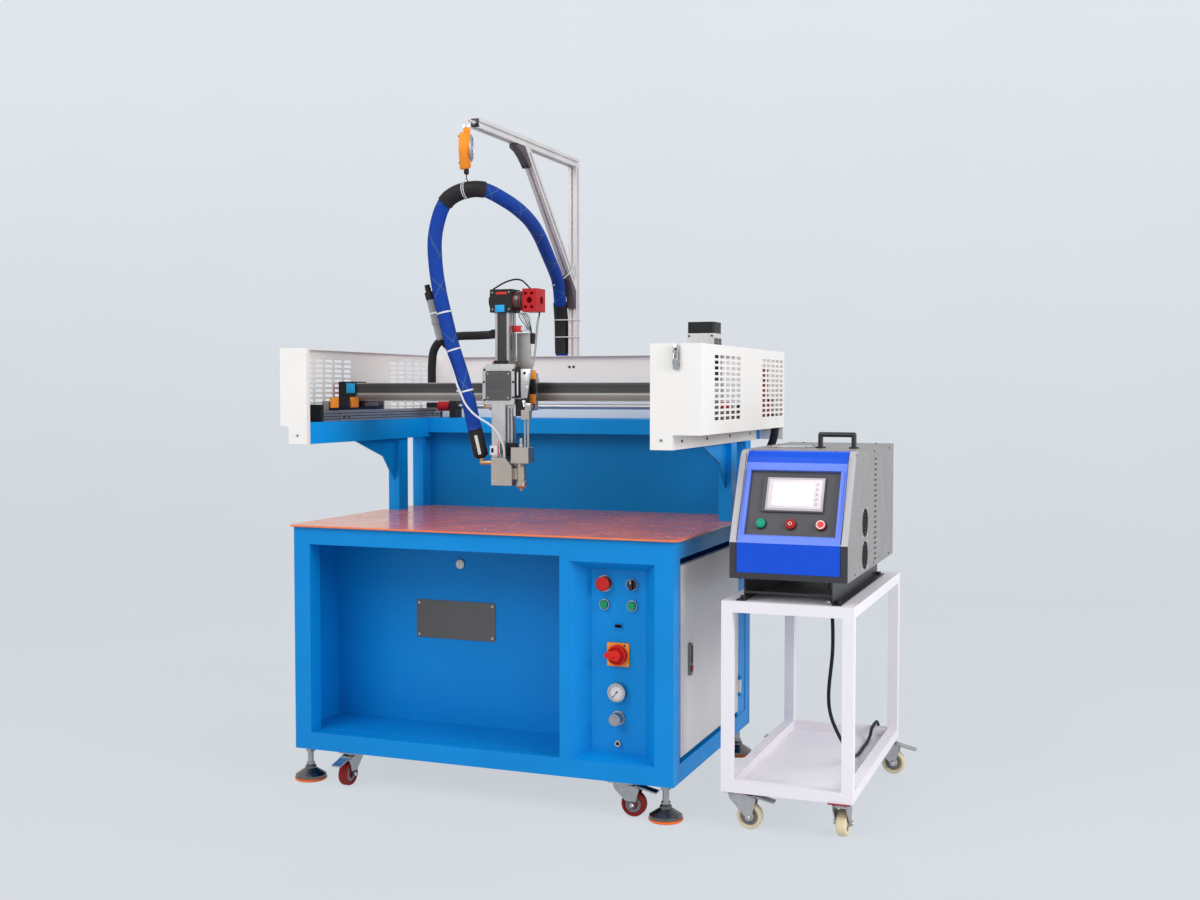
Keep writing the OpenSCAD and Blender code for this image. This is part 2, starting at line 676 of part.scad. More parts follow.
// Swivelling part of a caster: crown, fork, axle and brake pedal
module caster_fork(top, axle_z) {
    crown_z = top - caster_plate_t - caster_cup_t - 0.4;
    gap = wheel_w / 2 + 2;
    translate([0, 0, crown_z - 6]) cylinder(r = 25, h = 6, $fn = 48);
    translate([0, 0, crown_z - 6]) cylinder(r = kingpin_r, h = 11, $fn = 32);
    for (y = [gap, -gap - 3]) plate_xz(y, 3) {
        polygon([[-25, crown_z], [25, crown_z], [caster_trail + 20, crown_z - 8],
            [caster_trail + 9, axle_z], [caster_trail - 9, axle_z], [-20, crown_z - 14]]);
        translate([caster_trail, axle_z]) circle(r = 10, $fn = 32);
    }
    translate([-20, -gap, crown_z - 6]) cube([caster_trail + 36, 2 * gap, 4]);
    rod_y(caster_trail, -gap - 6, axle_z, axle_r, 2 * gap + 12);
    for (y = [gap + 3, -gap - 7]) rod_y(caster_trail, y, axle_z, 7, 4);
    // Brake pedal over the wheel
    plate_xz(-15, 30) polygon([[caster_trail + 12, crown_z - 7], [pedal_reach, crown_z - 19],
        [pedal_reach, crown_z - 15], [caster_trail + 12, crown_z - 2]]);
}
module caster_wheel(axle_z) translate([caster_trail, 0, axle_z]) rotate([90, 0, 0])
    rotate_extrude($fn = 64) polygon([
        [axle_r + 0.3, -wheel_w / 2], [11, -wheel_w / 2], [12, -wheel_w / 2 + 5],
        [wheel_r - 10, -wheel_w / 2 + 5], [wheel_r - 8, -wheel_w / 2 + 1], [wheel_r - 3, -wheel_w / 2 + 1],
        [wheel_r, -wheel_w / 2 + 6], [wheel_r, wheel_w / 2 - 6], [wheel_r - 3, wheel_w / 2 - 1],
        [wheel_r - 8, wheel_w / 2 - 1], [wheel_r - 10, wheel_w / 2 - 5], [12, wheel_w / 2 - 5],
        [11, wheel_w / 2], [axle_r + 0.3, wheel_w / 2]]);
module bench_caster(i) at_machine() color(steel) translate([bench_casters[i][0], bench_casters[i][1], 0])
    rotate(bench_casters[i][2]) caster_fork(bench_clear - seat_gap, wheel_r + bench_wheel_gap);
module bench_wheel(i) at_machine() color([0.5, 0.08, 0.08])
    translate([bench_casters[i][0], bench_casters[i][1], 0]) rotate(bench_casters[i][2])
        caster_wheel(wheel_r + bench_wheel_gap);
module trolley_caster(i) at_machine() color(steel)
    translate([trolley_casters[i][0], trolley_casters[i][1], 0]) rotate(trolley_casters[i][2])
        caster_fork(trolley_clear - seat_gap, wheel_r + trolley_wheel_gap);
module trolley_wheel(i) at_machine() color([0.85, 0.82, 0.68])
    translate([trolley_casters[i][0], trolley_casters[i][1], 0]) rotate(trolley_casters[i][2])
        caster_wheel(wheel_r + trolley_wheel_gap);

// Slotted aluminium profile, one slot in each face, along +Z from the origin corner
module profile_2d(w) difference() {
    square(w);
    for (a = [0:90:270]) translate([w / 2, w / 2]) rotate(a) translate([-w * 0.13, w * 0.28])
        square([w * 0.26, w]);
}
module slotted_z(w, l) linear_extrude(l) profile_2d(w);

// Stand behind the rear cover, its boom over the bench, and the brace with its solid ends
module hose_stand() at_machine() color(alu) {
    brace_drop = stand_y - boom_y - 350;
    brace_l = brace_drop * sqrt(2);
    brace_w = profile_w - 1;
    brace_end = brace_w * 0.75;
    translate([stand_x, stand_y, arm_bottom]) slotted_z(profile_w, boom_z - arm_bottom - 2);
    block([stand_x, stand_y, boom_z - 3], [stand_x + profile_w, stand_y + profile_w, boom_z + 1]);
    translate([stand_x, stand_y + profile_w, boom_z]) rotate([90, 0, 0])
        slotted_z(profile_w, stand_y + profile_w - boom_y);
    intersection() {
        translate([stand_x + 0.5, stand_y, boom_z - brace_drop]) rotate([45, 0, 0])
            translate([0, -brace_w / 2, 0]) {
                translate([0, 0, brace_end - 1]) slotted_z(brace_w, brace_l - 2 * brace_end + 2);
                for (z = [-brace_w, brace_l - brace_end]) translate([0, 0, z])
                    cube([brace_w, brace_w, brace_w + brace_end]);
            }
        block([stand_x - 1, boom_y, arm_top], [stand_x + profile_w + 1, stand_y + 1, boom_z + 1]);
    }
    // Clamp plate that holds the foot of the post to the rear beam of the gantry
    block([stand_x - 10, arm_end + cover_t + 2 * seat_gap, beam_rail_z + 5],
        [stand_x + profile_w + 10, stand_y + 0.1, beam_rail_z + 85]);
    // Hook that carries the balancer
    rod_y(stand_mid_x, balancer_y - 4, hook_z + 14, 4, boom_y - balancer_y + 5);
    translate([stand_mid_x, balancer_y, hook_z]) cylinder(r = 3, h = 14, $fn = 24);
}

// Spring balancer: drum housing with its cover, hanging eye, cable and snap hook
module spring_balancer() at_machine() color(orange) translate([stand_mid_x, balancer_y, balancer_z]) {
    eye = hook_z - balancer_z - seat_gap;
    rotate([0, 90, 0]) translate([0, 0, -22]) cylinder(r = balancer_r, h = 38, $fn = 64);
    rotate([0, 90, 0]) translate([0, 0, 15.9]) cylinder(r = balancer_r - 6, h = 6.1, $fn = 64);
    plate_yz(-14, 26) polygon([[-12, eye - 8], [12, eye - 8], [34, 31], [-34, 31]]);
    plate_yz(-16, 30) polygon([[-40, -20], [40, -20], [10, -74], [-10, -74]]);
    translate([0, 0, eye - 9]) cylinder(r = 5, h = 9, $fn = 24);
    translate([0, 0, -86]) cylinder(r = 8, h = 13, $fn = 24);
    translate([0, 0, -96]) cylinder(r = 3, h = 11, $fn = 24);
}

// Y axis modules on the arms, with end caps, and the Y motor beside the right one
module y_axis_module() {
    translate([y_axis_x, y_axis_front + 14, y_axis_z]) {
        difference() {
            cube([y_axis_w, y_axis_end - y_axis_front - 28, y_rail_top - y_axis_z]);
            for (x = [-1, y_axis_w - 3]) for (z = [10, 21])
                translate([x, -1, z]) cube([4, y_axis_end - y_axis_front, 4]);
        }
        translate([8, 0, y_rail_top - y_axis_z - 1]) cube([y_axis_w - 16, y_axis_end - y_axis_front - 28, 3]);
    }
    for (y = [y_axis_front, y_axis_end - 14.1])
        block([y_axis_x, y, y_axis_z], [y_axis_x + y_axis_w, y + 14.1, y_axis_top - 6]);
    for (y = [y_axis_front + 110, y_axis_end - 60])
        block([y_axis_x + y_axis_w - 1, y, arm_top + seat_gap], [arm_w - 0.5, y + 60, arm_top + 26]);
}
module y_axis_modules() at_machine() color(alu) {
    y_axis_module();
    translate([bench_w, 0, 0]) mirror([1, 0, 0]) y_axis_module();
    for (x = [arm_w + 60, bench_w - arm_w - 84]) difference() {
        block([x, shaft_y - 24, arm_top + seat_gap], [x + 24, shaft_y + 24, shaft_z + 22]);
        rod_x(x - 1, shaft_y, shaft_z, shaft_r + run_gap, 26);
    }
    // Motor that drives the cross shaft, outside the right arm
    difference() {
        block([bench_w + 12, shaft_y - 30, shaft_z - 30], [bench_w + 62, shaft_y + 30, shaft_z + 30]);
        rod_x(bench_w + 11, shaft_y, shaft_z, shaft_r + run_gap, 22);
    }
    block([bench_w - y_axis_x, shaft_y - 26, shaft_z - 24], [bench_w + 12.1, shaft_y - 16, shaft_z + 24]);
    block([bench_w - y_axis_x, shaft_y + 16, shaft_z - 24], [bench_w + 12.1, shaft_y + 26, shaft_z + 24]);
}

// Cross shaft that turns with the Y travel, with its two couplings
module y_drive_shaft() at_machine() color(steel) {
    rod_x(arm_w + 6, shaft_y, shaft_z, shaft_r, bench_w - 2 * arm_w - 12);
    for (x = [arm_w + 8, bench_w - arm_w - 52]) rod_x(x, shaft_y, shaft_z, 17, 44);
}

// X beam with its end caps, and the two carriages that carry it
module x_beam() at_machine() color(alu) {
    l = beam_x1 - beam_x0 - 60;
    difference() {
        translate([beam_x0 + 60, beam_y, beam_z]) cube([l, beam_d, beam_h]);
        translate([beam_x0 + 59, beam_y - 1, beam_z + 18]) cube([l + 2, 4, 26]);
        for (z = [4, beam_h - 6]) translate([beam_x0 + 59, beam_y - 1, beam_z + z]) cube([l + 2, 3, 3]);
        translate([beam_x0 + 59, beam_y + beam_d - 4, beam_z + 12]) cube([l + 2, 5, 6]);
        translate([beam_x0 + 59, beam_y + beam_d - 4, beam_z + beam_h - 18]) cube([l + 2, 5, 6]);
    }
    block([beam_x0 + 60, beam_y + 3.2, beam_z + 19], [beam_x1, beam_y + 5, beam_z + 43]);
    block([beam_x0, beam_y - 4, beam_z - 0.5], [beam_x0 + 60.1, beam_y + beam_d + 4, beam_z + beam_h + 4]);
    // Clip on the rear of the beam that holds the fixed end of the cable duct
    block([chain_path[0][0] - 16, beam_y + beam_d - 0.1, chain_path[0][2] - 24],
        [chain_path[0][0] + 16, chain_path[0][1] + 13, chain_path[0][2] - seat_gap]);
    y_carriage();
    translate([bench_w, 0, 0]) mirror([1, 0, 0]) y_carriage();
}
module y_carriage() {
    y0 = beam_mid_y - carriage_l / 2;
    difference() {
        block([0, y0, carriage_z], [arm_w, y0 + carriage_l, carriage_top]);
        block([y_axis_x + 7, y0 - 1, carriage_z - 1], [y_axis_x + y_axis_w - 7, y0 + carriage_l + 1,
            y_rail_top + 2 + slide_gap]);
    }
    block([2, beam_y - 20, carriage_top - 1], [arm_w - 2, beam_y + beam_d + 20, beam_z + 1]);
}

// Servo motor that stands on the right end of the X beam
module x_motor() at_machine() color(alu) {
    x0 = beam_x1 - 6;
    block([x0 + 6 + seat_gap, beam_y - 6, beam_z + 1 + seat_gap], [x0 + 92, beam_y + beam_d + 20,
        beam_z + beam_h + 1]);
    block([x0 + 8, beam_y - 4, beam_z + beam_h], [x0 + 88, beam_y + beam_d + 16, beam_z + beam_h + 140]);
    translate([x0 + 8, beam_y - 4, beam_z + beam_h + 140]) linear_extrude(32) round_rect(80, 80, 10);
}

// Saddle on the X beam with the Z axis module on its face
module z_axis() at_machine() color(alu) {
    x0 = head_x - 66;
    block([x0, saddle_y, beam_z + beam_h / 2 - saddle_h / 2], [x0 + saddle_w, saddle_y + saddle_t,
        beam_z + beam_h / 2 + saddle_h / 2]);
    block([x0 + 20, saddle_y + saddle_t - 0.1, beam_z + beam_h + run_gap], [x0 + saddle_w - 20,
        beam_y + beam_d - 6, beam_z + beam_h + 12]);
    zx = head_x - z_axis_w / 2;
    difference() {
        translate([zx, z_axis_y, z_axis_bottom + 18]) cube([z_axis_w, z_axis_d + 0.1, z_axis_l - 18]);
        translate([zx + 8, z_axis_y - 1, z_axis_bottom]) cube([z_axis_w - 16, 3, z_axis_l + 1]);
        for (y = [14, 30]) for (x = [-1, z_axis_w - 3])
            translate([zx + x, z_axis_y + y, z_axis_bottom]) cube([4, 5, z_axis_l + 1]);
    }
    block([zx - 2, z_axis_y - 2, z_axis_bottom], [zx + z_axis_w + 2, z_axis_y + z_axis_d, z_axis_bottom + 18.1]);
    // Clip that takes the moving end of the cable duct
    block([zx - 4, z_axis_y + 12, chain_path[11][2] - 16], [zx + 0.1, z_axis_y + 38, chain_path[11][2] + 16]);
    // Back plate beside the module, which stiffens it above the saddle
    block([zx + z_axis_w + 2, saddle_y + 2, beam_z + beam_h / 2], [zx + z_axis_w + 46, saddle_y + 8,
        z_axis_top - 60]);
}

// Drive head on top of the Z axis, with the motor and its slotted red bracket
module z_motor() at_machine() {
    zx = head_x - z_axis_w / 2;
    z0 = z_axis_top + seat_gap;
    color(black) {
        block([zx - 14, z_axis_y - 6, z0], [zx + z_axis_w + 12, z_axis_y + z_axis_d + 6, z0 + 68]);
        rod_x(zx + z_axis_w + 12, z_axis_y + 26, z0 + 34, 29, 32);
    }
    color(red) difference() {
        x0 = zx + z_axis_w + 44;
        translate([x0, z_axis_y - 8, z0]) linear_extrude(68) round_rect(50, 68, 8);
        rod_y(x0 + 25, z_axis_y - 9, z0 + 34, 9, 30);
        rod_x(x0 + 20, z_axis_y + 26, z0 + 34, 12, 30);
        for (z = [10, 50]) for (x = [8, 28]) translate([x0 + x, z_axis_y - 9, z0 + z]) cube([10, 12, 8]);
    }
}

// Slider and face plate of the head, and the long plate that carries the gun
module head_plate() at_machine() color(alu) {
    x0 = head_x - head_w / 2;
    y1 = head_y + head_plate_t;
    plate_xz(head_y, head_plate_t) translate([x0, head_z]) round_rect(head_w, head_h, 8);
    block([x0 + 6, y1 - 0.1, head_z - 8], [x0 + head_w - 6, y1 + z_slider_t, head_z + head_h + 8]);
    block([head_x - 22, head_y, gun_z + gun_h + seat_gap], [head_x + 22, y1, head_z + 6]);
    // Bare square plate on the face
    plate_xz(head_y - 2 - seat_gap, 2) translate([head_x - 41, head_z + 12]) round_rect(82, 88, 7);
    // Side bracket with the reed sensor and the block that holds the air valve
    block([x0 + head_w - 8, y1 - 0.1, head_z + 10], [x0 + head_w + 17, y1 + 12, head_z + head_h - 6]);
    block([x0 + head_w - 8, y1 - 0.1, head_z - 34], [x0 + head_w + 28, y1 + 14, head_z + 16]);
}

// Gun: heater block, valve block, valve barrel, nozzle and the two air tubes above it
module glue_gun() at_machine() color(steel) {
    right = gun_left + 66;
    back = head_y + head_plate_t + 8;
    difference() {
        block([gun_left, gun_y, gun_z], [right, back, gun_z + gun_h]);
        plate_xz(gun_y - 1, back - gun_y + 2) polygon([[right - 22, gun_z + gun_h + 1],
            [right + 1, gun_z + gun_h + 1], [right + 1, gun_z + gun_h - 26]]);
    }
    block([right - 1, gun_y + 14, gun_z + 18], [gun_x, gun_y + 34, gun_z + 50]);
    block([gun_x - 24, gun_y + 4, gun_z + 66], [gun_x + 32, gun_y + 44, gun_z + 112]);
    translate([gun_x, gun_y + 24, gun_z + 20]) cylinder(r = 14, h = 50, $fn = 48);
    translate([gun_x, gun_y + 24, nozzle_z]) rotate_extrude($fn = 48) polygon([
        [1.2, 0], [3, 0], [5, 8], [12, 10], [16, 15], [16, 28], [13, 31], [13, 44], [1.2, 44]]);
    for (x = [gun_x + 12, gun_x + 22]) translate([x, gun_y + 26, gun_z + 110])
        cylinder(r = 3.5, h = 86, $fn = 24);
    block([gun_x + 4, gun_y + 15, gun_z + 194], [gun_x + 30, gun_y + 35, gun_z + 222]);
}

// Brass elbow and black end sleeve of the hose on the gun
module hose_gun_end() at_machine() color([0.75, 0.5, 0.3]) {
    rod_x(elbow[0], elbow[1], elbow[2], 6, gun_left - elbow[0] - seat_gap);
    translate(elbow) {
        sphere(r = 8, $fn = 32);
        rotate([0, -elbow_lean, 0]) {
            cylinder(r = 6, h = 16, $fn = 32);
            translate([0, 0, 13]) cylinder(r1 = 11, r2 = 20, h = 8, $fn = 48);
            translate([0, 0, 21]) cylinder(r = 20, h = 74, $fn = 48);
        }
    }
}

// Push buttons and knobs of the control panel
module start_button(x) at_machine() color([0.1, 0.55, 0.3]) {
    rod_y(x, pan_d - 12, start_z, start_r, 12 - start_travel - run_gap);
    rod_y(x, pan_d - 5, start_z, stem_r, 30);
}
module estop_button() at_machine() color(red) {
    translate([pan_left, pan_d - estop_travel - 21, estop_z]) rotate([-90, 0, 0]) rotate_extrude($fn = 64)
        polygon([[0, 0], [estop_r - 5, 0], [estop_r, 4], [estop_r, 11], [12, 14], [stem_r, 16],
            [stem_r, 50], [0, 50]]);
}
module selector_knob() at_machine() color(black) {
    rod_y(pan_right, pan_d - 10, estop_z, selector_r, 8);
    rod_y(pan_right, pan_d - 3, estop_z, stem_r, 30);
    block([pan_right - 4, pan_d - 20, estop_z - selector_r], [pan_right + 4, pan_d - 9, estop_z + selector_r]);
}
module main_switch() at_machine() color(red) {
    rod_y(pan_x, pan_d - 14, main_z, main_switch_r, 8.5);
    rod_y(pan_x, pan_d - 6, main_z, stem_r, 34);
    translate([pan_x, 0, main_z]) rotate([0, 20, 0])
        block([-8, pan_d - 32, -main_switch_r - 3], [8, pan_d - 13, main_switch_r + 3]);
}
module regulator_knob() at_machine() color(steel) {
    difference() {
        rod_y(pan_x, pan_d - 34, regulator_z, regulator_r, 29);
        for (a = [0:30:330]) translate([pan_x, 0, regulator_z]) rotate([0, a, 0])
            rod_y(regulator_r + 1, pan_d - 30, 0, 2, 20);
    }
    rod_y(pan_x, pan_d - 6, regulator_z, stem_r, 30);
}

// Trolley: square tube frame with a sheet top, a lower tray and the caster plates
module trolley_frame() at_machine() color(white) {
    t = trolley_tube;
    for (x = [0, trolley_w - t]) for (y = [0, trolley_d - t])
        translate([trolley_x + x, trolley_y + y, trolley_clear]) cube([t, t, trolley_top - trolley_clear]);
    for (z = [trolley_clear, trolley_top - t]) {
        for (y = [0, trolley_d - t]) translate([trolley_x, trolley_y + y, z]) cube([trolley_w, t, t]);
        for (x = [0, trolley_w - t]) translate([trolley_x + x, trolley_y, z]) cube([t, trolley_d, t]);
    }
    // Top sheet and tray, let in between the rails
    difference() {
        for (z = [trolley_clear + 2, trolley_top - 2])
            block([trolley_x + t + seat_gap, trolley_y + t + seat_gap, z],
                [trolley_x + trolley_w - t - seat_gap, trolley_y + trolley_d - t - seat_gap, z + 2]);
        translate([cord_exit[0], cord_exit[1], trolley_top - 3]) cylinder(r = 16, h = 4, $fn = 32);
    }
    for (c = trolley_casters) translate([c[0], c[1], 0]) rotate(c[2]) caster_plate(trolley_clear - seat_gap);
}

// Outline of the melter seen from its side, drawn smaller by g
function melter_outline(g) = [
    [melter_y + g, melter_z + g], [melter_y + melter_d - g, melter_z + g],
    [melter_y + melter_d - g, melter_z + melter_h - g],
    [melter_y + melter_lean + 34, melter_z + melter_h - g],
    [melter_y + melter_lean + 14 + g / 3, melter_z + melter_h - 4 - g],
    [melter_y + melter_lean + g, melter_z + melter_h - 18],
    [melter_y + g * 1.1, melter_z + melter_front_h - g / 4]];
module melter_solid(g, inset) plate_yz(melter_x + inset, melter_w - 2 * inset) polygon(melter_outline(g));

// Places on the slanted front: z runs up the slope from its foot, y into the housing
module on_slope() translate([0, melter_y, melter_z + melter_front_h]) rotate([-lean_angle, 0, 0]) children();

// Space of the front panel, which bends from the upright front over the slope to the roof
module front_band(gap) block([melter_x + melter_border + gap, melter_y - 1, melter_z + 16 + gap],
    [melter_x + melter_w - melter_border - gap, melter_y + melter_lean + 30 - gap, melter_z + melter_h + 1]);

// Sheet steel housing of the melter with fan guards, vent holes and the sunken control plate
module melter_housing() at_machine() color(dark_grey) {
    x1 = melter_x + melter_w;
    difference() {
        melter_solid(0, 0);
        melter_solid(melter_sheet, melter_sheet);
        front_band(0);
        for (z = fan_z) rod_x(x1 - melter_sheet - 1, fan_y, z, 38, melter_sheet + 2);
        for (k = [0:19]) rod_x(x1 - melter_sheet - 1, fan_y + 163, melter_z + 20 + k * 15, 3, melter_sheet + 2);
    }
    for (z = fan_z) translate([x1 - melter_sheet, fan_y, z]) fan_guard();
    difference() {
        on_slope() block([melter_x + 1, melter_recess, -8], [x1 - 1, melter_recess + melter_sheet, 230]);
        for (i = [-1:1]) on_slope() rod_y(melter_mid_x + i * melter_button_pitch, melter_recess - 1,
            melter_button_s, stem_r + run_gap, melter_sheet + 2);
    }
    // Ring on the rear wall where the hose comes in
    difference() {
        rod_y(link_gland[0], link_gland[1] - 1, link_gland[2], 20, 13);
        rod_y(link_gland[0], link_gland[1] + 2, link_gland[2], 9, 11);
    }
}

// Round wire guard of a fan: rings joined by two cross bars
module fan_guard() {
    for (r = [8, 18, 28, 37]) rotate([0, 90, 0]) difference() {
        cylinder(r = r + 2, h = 2, $fn = 64);
        translate([0, 0, -1]) cylinder(r = r - 2, h = 4, $fn = 64);
    }
    for (a = [45, 135]) rotate([a, 0, 0]) block([0, -39, -2], [2, 39, 2]);
}

// Blue front panel with the recess round the control plate, and the screen
module melter_front() at_machine() color([0.05, 0.3, 0.85]) {
    difference() {
        intersection() {
            union() {
                difference() {
                    melter_solid(0, 0);
                    melter_solid(2, -1);
                }
                // Return walls round the recess
                on_slope() block([melter_x + 27, 0, 21], [melter_x + melter_w - 27, melter_recess - run_gap, 211]);
            }
            front_band(run_gap);
        }
        on_slope() block([melter_x + 29, -2, 23], [melter_x + melter_w - 29, melter_recess + 1, 209]);
    }
    on_slope() block([melter_mid_x - 84, melter_recess - 6, 92], [melter_mid_x + 84,
        melter_recess - seat_gap, 192]);
}

// Base rails with their bolts, the front bar, and the carrying handle
module melter_fittings() at_machine() color(black) {
    y0 = melter_y + 4;
    y1 = melter_y + melter_d - 40;
    for (x = [melter_x + 40, melter_x + melter_w - 43]) {
        block([x, y0, trolley_top + seat_gap], [x + 3, y1, melter_z - seat_gap]);
        out = x < melter_mid_x ? -22 : 0;
        block([x + out, y0, trolley_top + seat_gap], [x + 25 + out, y1, trolley_top + 3]);
        for (y = [y0 + 30, y1 - 30]) translate([x + 12 + out, y, trolley_top + 3]) cylinder(r = 8, h = 8, $fn = 6);
    }
    block([melter_x + 42, y0, trolley_top + 22], [melter_x + melter_w - 42, y0 + 4, trolley_top + 28]);
    hz = melter_z + melter_h + seat_gap;
    for (x = handle_x) translate([x, handle_y, hz]) {
        cylinder(r = 7, h = 38, $fn = 32);
        cylinder(r = 13, h = 4, $fn = 32);
    }
    rod_x(handle_x[0], handle_y, hz + 38, 7, handle_x[1] - handle_x[0]);
    for (x = handle_x) translate([x, handle_y, hz + 38]) sphere(r = 7, $fn = 32);
    // Gland of the power cord under the housing
    translate([cord_exit[0], cord_exit[1], melter_z - 26]) cylinder(r = 10, h = 26 - seat_gap, $fn = 32);
}

// Buttons on the melter panel
module melter_button(i, tone) at_machine() color(tone) on_slope() {
    x = melter_mid_x + i * melter_button_pitch;
    rod_y(x, melter_recess - 10, melter_button_s, melter_button_r, 10 - start_travel - run_gap);
    rod_y(x, melter_recess - 5, melter_button_s, stem_r, 24);
}

// Hose and cable routes. The two hose nodes are parts of one route and meet at its split ring
hose_bends = [
    [526, 163, 1062], [519.5, 163, 1088], [508, 156, 1150], [489, 148, 1230], [465, 140, 1310],
    [446, 134, 1390], [428, 130, 1470], [417, 126, 1550], [417, 122, 1630], [436, 119, 1700],
    [461, 117, 1738], [497, 117, 1758], [540, 118, 1766], [572, 128, 1765], [590, 158, 1757],
    [599, 211, 1746], [602, 269, 1736], [600, 334, 1724], [592, 409, 1710], [580, 486, 1692],
    [567, 557, 1670], [553, 625, 1645], [540, 690, 1619], [527, 756, 1592], [514, 819, 1563],
    [503, 864, 1530], [493, 896, 1495], [485, 921, 1460], [481, 937, 1423], [479, 944, 1385],
    [479, 945, 1347], [480, 945, 1309], [481, 951, 1250], [487, 963, 1200], [502, 978, 1158],
    [527, 985, 1132], [560, 982, 1116], [610, 966, 1108.5], [660, 951, 1107.5], [720, 946, 1107.5]];
hose_run = bench_w - 100 - 720;
hose_run_z = 1107.5;
hose_path = concat(hose_bends, [for (k = [1:4]) [720 + k * hose_run / 4, 946, hose_run_z]],
    [for (p = [[-56, 946.5], [-24, 940], [4, 920], [26, 897.5]]) [bench_w + p[0], p[1], hose_run_z]]);
hose_split = 12;
// Places to the right of the bench
link_path = [for (p = [
    [26.4, 897, 1107.5], [38, 885.3, 1107.5], [50, 875.5, 1099], [59, 872, 1083], [61.5, 873, 1061],
    [59.5, 876, 1040], [54, 879, 1018], [46, 882, 998], [40, 888, 978], [42, 896, 960],
    [56, 901, 946], [80, 899, 938], [110, 886, 936], [140, 864, 939], [170, 836, 943],
    [196, 812, 946], [214, 790, 948], [223.5, 770, 948], [223.5, 752.3, 948]])
    [bench_w + p[0], p[1], p[2]]];
chain_path = [
    [285, 347, 1174], [285, 347, 1215], [286, 347, 1262], [292, 347, 1304], [312, 347, 1332],
    [345, 347, 1346], [395, 344, 1350], [445, 334, 1350], [head_x - 105, 308, 1350],
    [head_x - 66, 274, 1350], [head_x - 46, 244, 1350], [head_x - 41, 222, 1350]];
// Places from the trolley's front left corner
cord_path = [for (p = [
    [281, 82, 654], [281, 82, 625], [281, 82, 598], [283, 84, 560], [283, 88, 520],
    [281, 94, 480], [276, 102, 440], [270, 112, 400], [265, 126, 360], [263, 146, 320],
    [265, 174, 282], [270, 208, 246], [276, 244, 212], [282, 284, 180], [286, 330, 152],
    [287, 382, 132], [285, 440, 119], [283, 500, 113], [282, 560, 113], [282, 620, 113],
    [282, 670, 120], [282, 702, 136], [282, 732, 140], [282, 764, 140], [282, 792, 138],
    [282, 820, 122], [282, 840, 92], [281, 849, 60], [280, 858, 32], [281, 872, 13],
    [285, 888, 7], [289, 900, 6.5]]) [trolley_x + p[0], trolley_y + p[1], p[2]]];
coil_place = [trolley_x + 230, trolley_y + 950];
module hose_supply() at_machine() color([0.08, 0.22, 0.65])
    swept_tube(hose_path, hose_split, len(hose_path) - 1, hose_d, 10);
module hose_drop() at_machine() color([0.08, 0.22, 0.65]) swept_tube(hose_path, 0, hose_split, hose_d, 10);
module hose_link() at_machine() color(black) swept_tube(link_path, 0, len(link_path) - 1, 26, 8);
module cable_chain() at_machine() color(black) swept_tube(chain_path, 0, len(chain_path) - 1, 26, 8);
module power_cord() at_machine() color(black) swept_tube(cord_path, 0, len(cord_path) - 1, cord_d, 8);
module power_cord_coil() at_machine() color(black) translate([coil_place[0], coil_place[1], 0])
    rotate_extrude($fn = 48) translate([48, 0.5]) square([24, 30]);
module power_plug() at_machine() color(black) {
    translate([coil_place[0] + 38, coil_place[1] - 14, 30.5]) cube([34, 28, 22]);
    for (y = [-7, 5]) translate([coil_place[0] + 71.9, coil_place[1] + y, 36]) cube([18, 2, 8]);
}

bench_frame();
bench_panels();
control_panel();
side_door();
table_top();
back_wall();
gantry_frame();
left_cover();
right_cover();
rear_cover();
feet_and_caster_plates();
foot_pads();
panel_fittings();
hose_stand();
spring_balancer();
y_axis_modules();
y_drive_shaft();
bench_caster(0);  // bench_caster_fl
bench_wheel(0);  // bench_wheel_fl
bench_caster(1);  // bench_caster_fr
bench_wheel(1);  // bench_wheel_fr
bench_caster(2);  // bench_caster_rl
bench_wheel(2);  // bench_wheel_rl
bench_caster(3);  // bench_caster_rr
bench_wheel(3);  // bench_wheel_rr
hose_supply();
hose_drop();
hose_link();
cable_chain();
x_beam();
x_motor();
z_axis();
z_motor();
head_plate();
glue_gun();
hose_gun_end();
estop_button();
selector_knob();
start_button(pan_left);  // start_button_left
start_button(pan_right);  // start_button_right
main_switch();
regulator_knob();
trolley_frame();
trolley_caster(0);  // trolley_caster_fl
trolley_wheel(0);  // trolley_wheel_fl
trolley_caster(1);  // trolley_caster_fr
trolley_wheel(1);  // trolley_wheel_fr
trolley_caster(2);  // trolley_caster_rl
trolley_wheel(2);  // trolley_wheel_rl
trolley_caster(3);  // trolley_caster_rr
trolley_wheel(3);  // trolley_wheel_rr
melter_housing();
melter_front();
melter_fittings();
melter_button(-1, [0.1, 0.6, 0.4]);  // melter_power_button
melter_button(0, red);  // melter_stop_button_left
melter_button(1, red);  // melter_stop_button_right
power_cord();
power_cord_coil();
power_plug();
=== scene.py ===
import math
from itertools import product

import bmesh
import bpy
from bpy.props import FloatProperty, FloatVectorProperty, IntProperty, PointerProperty
from mathutils import Matrix, Vector, geometry


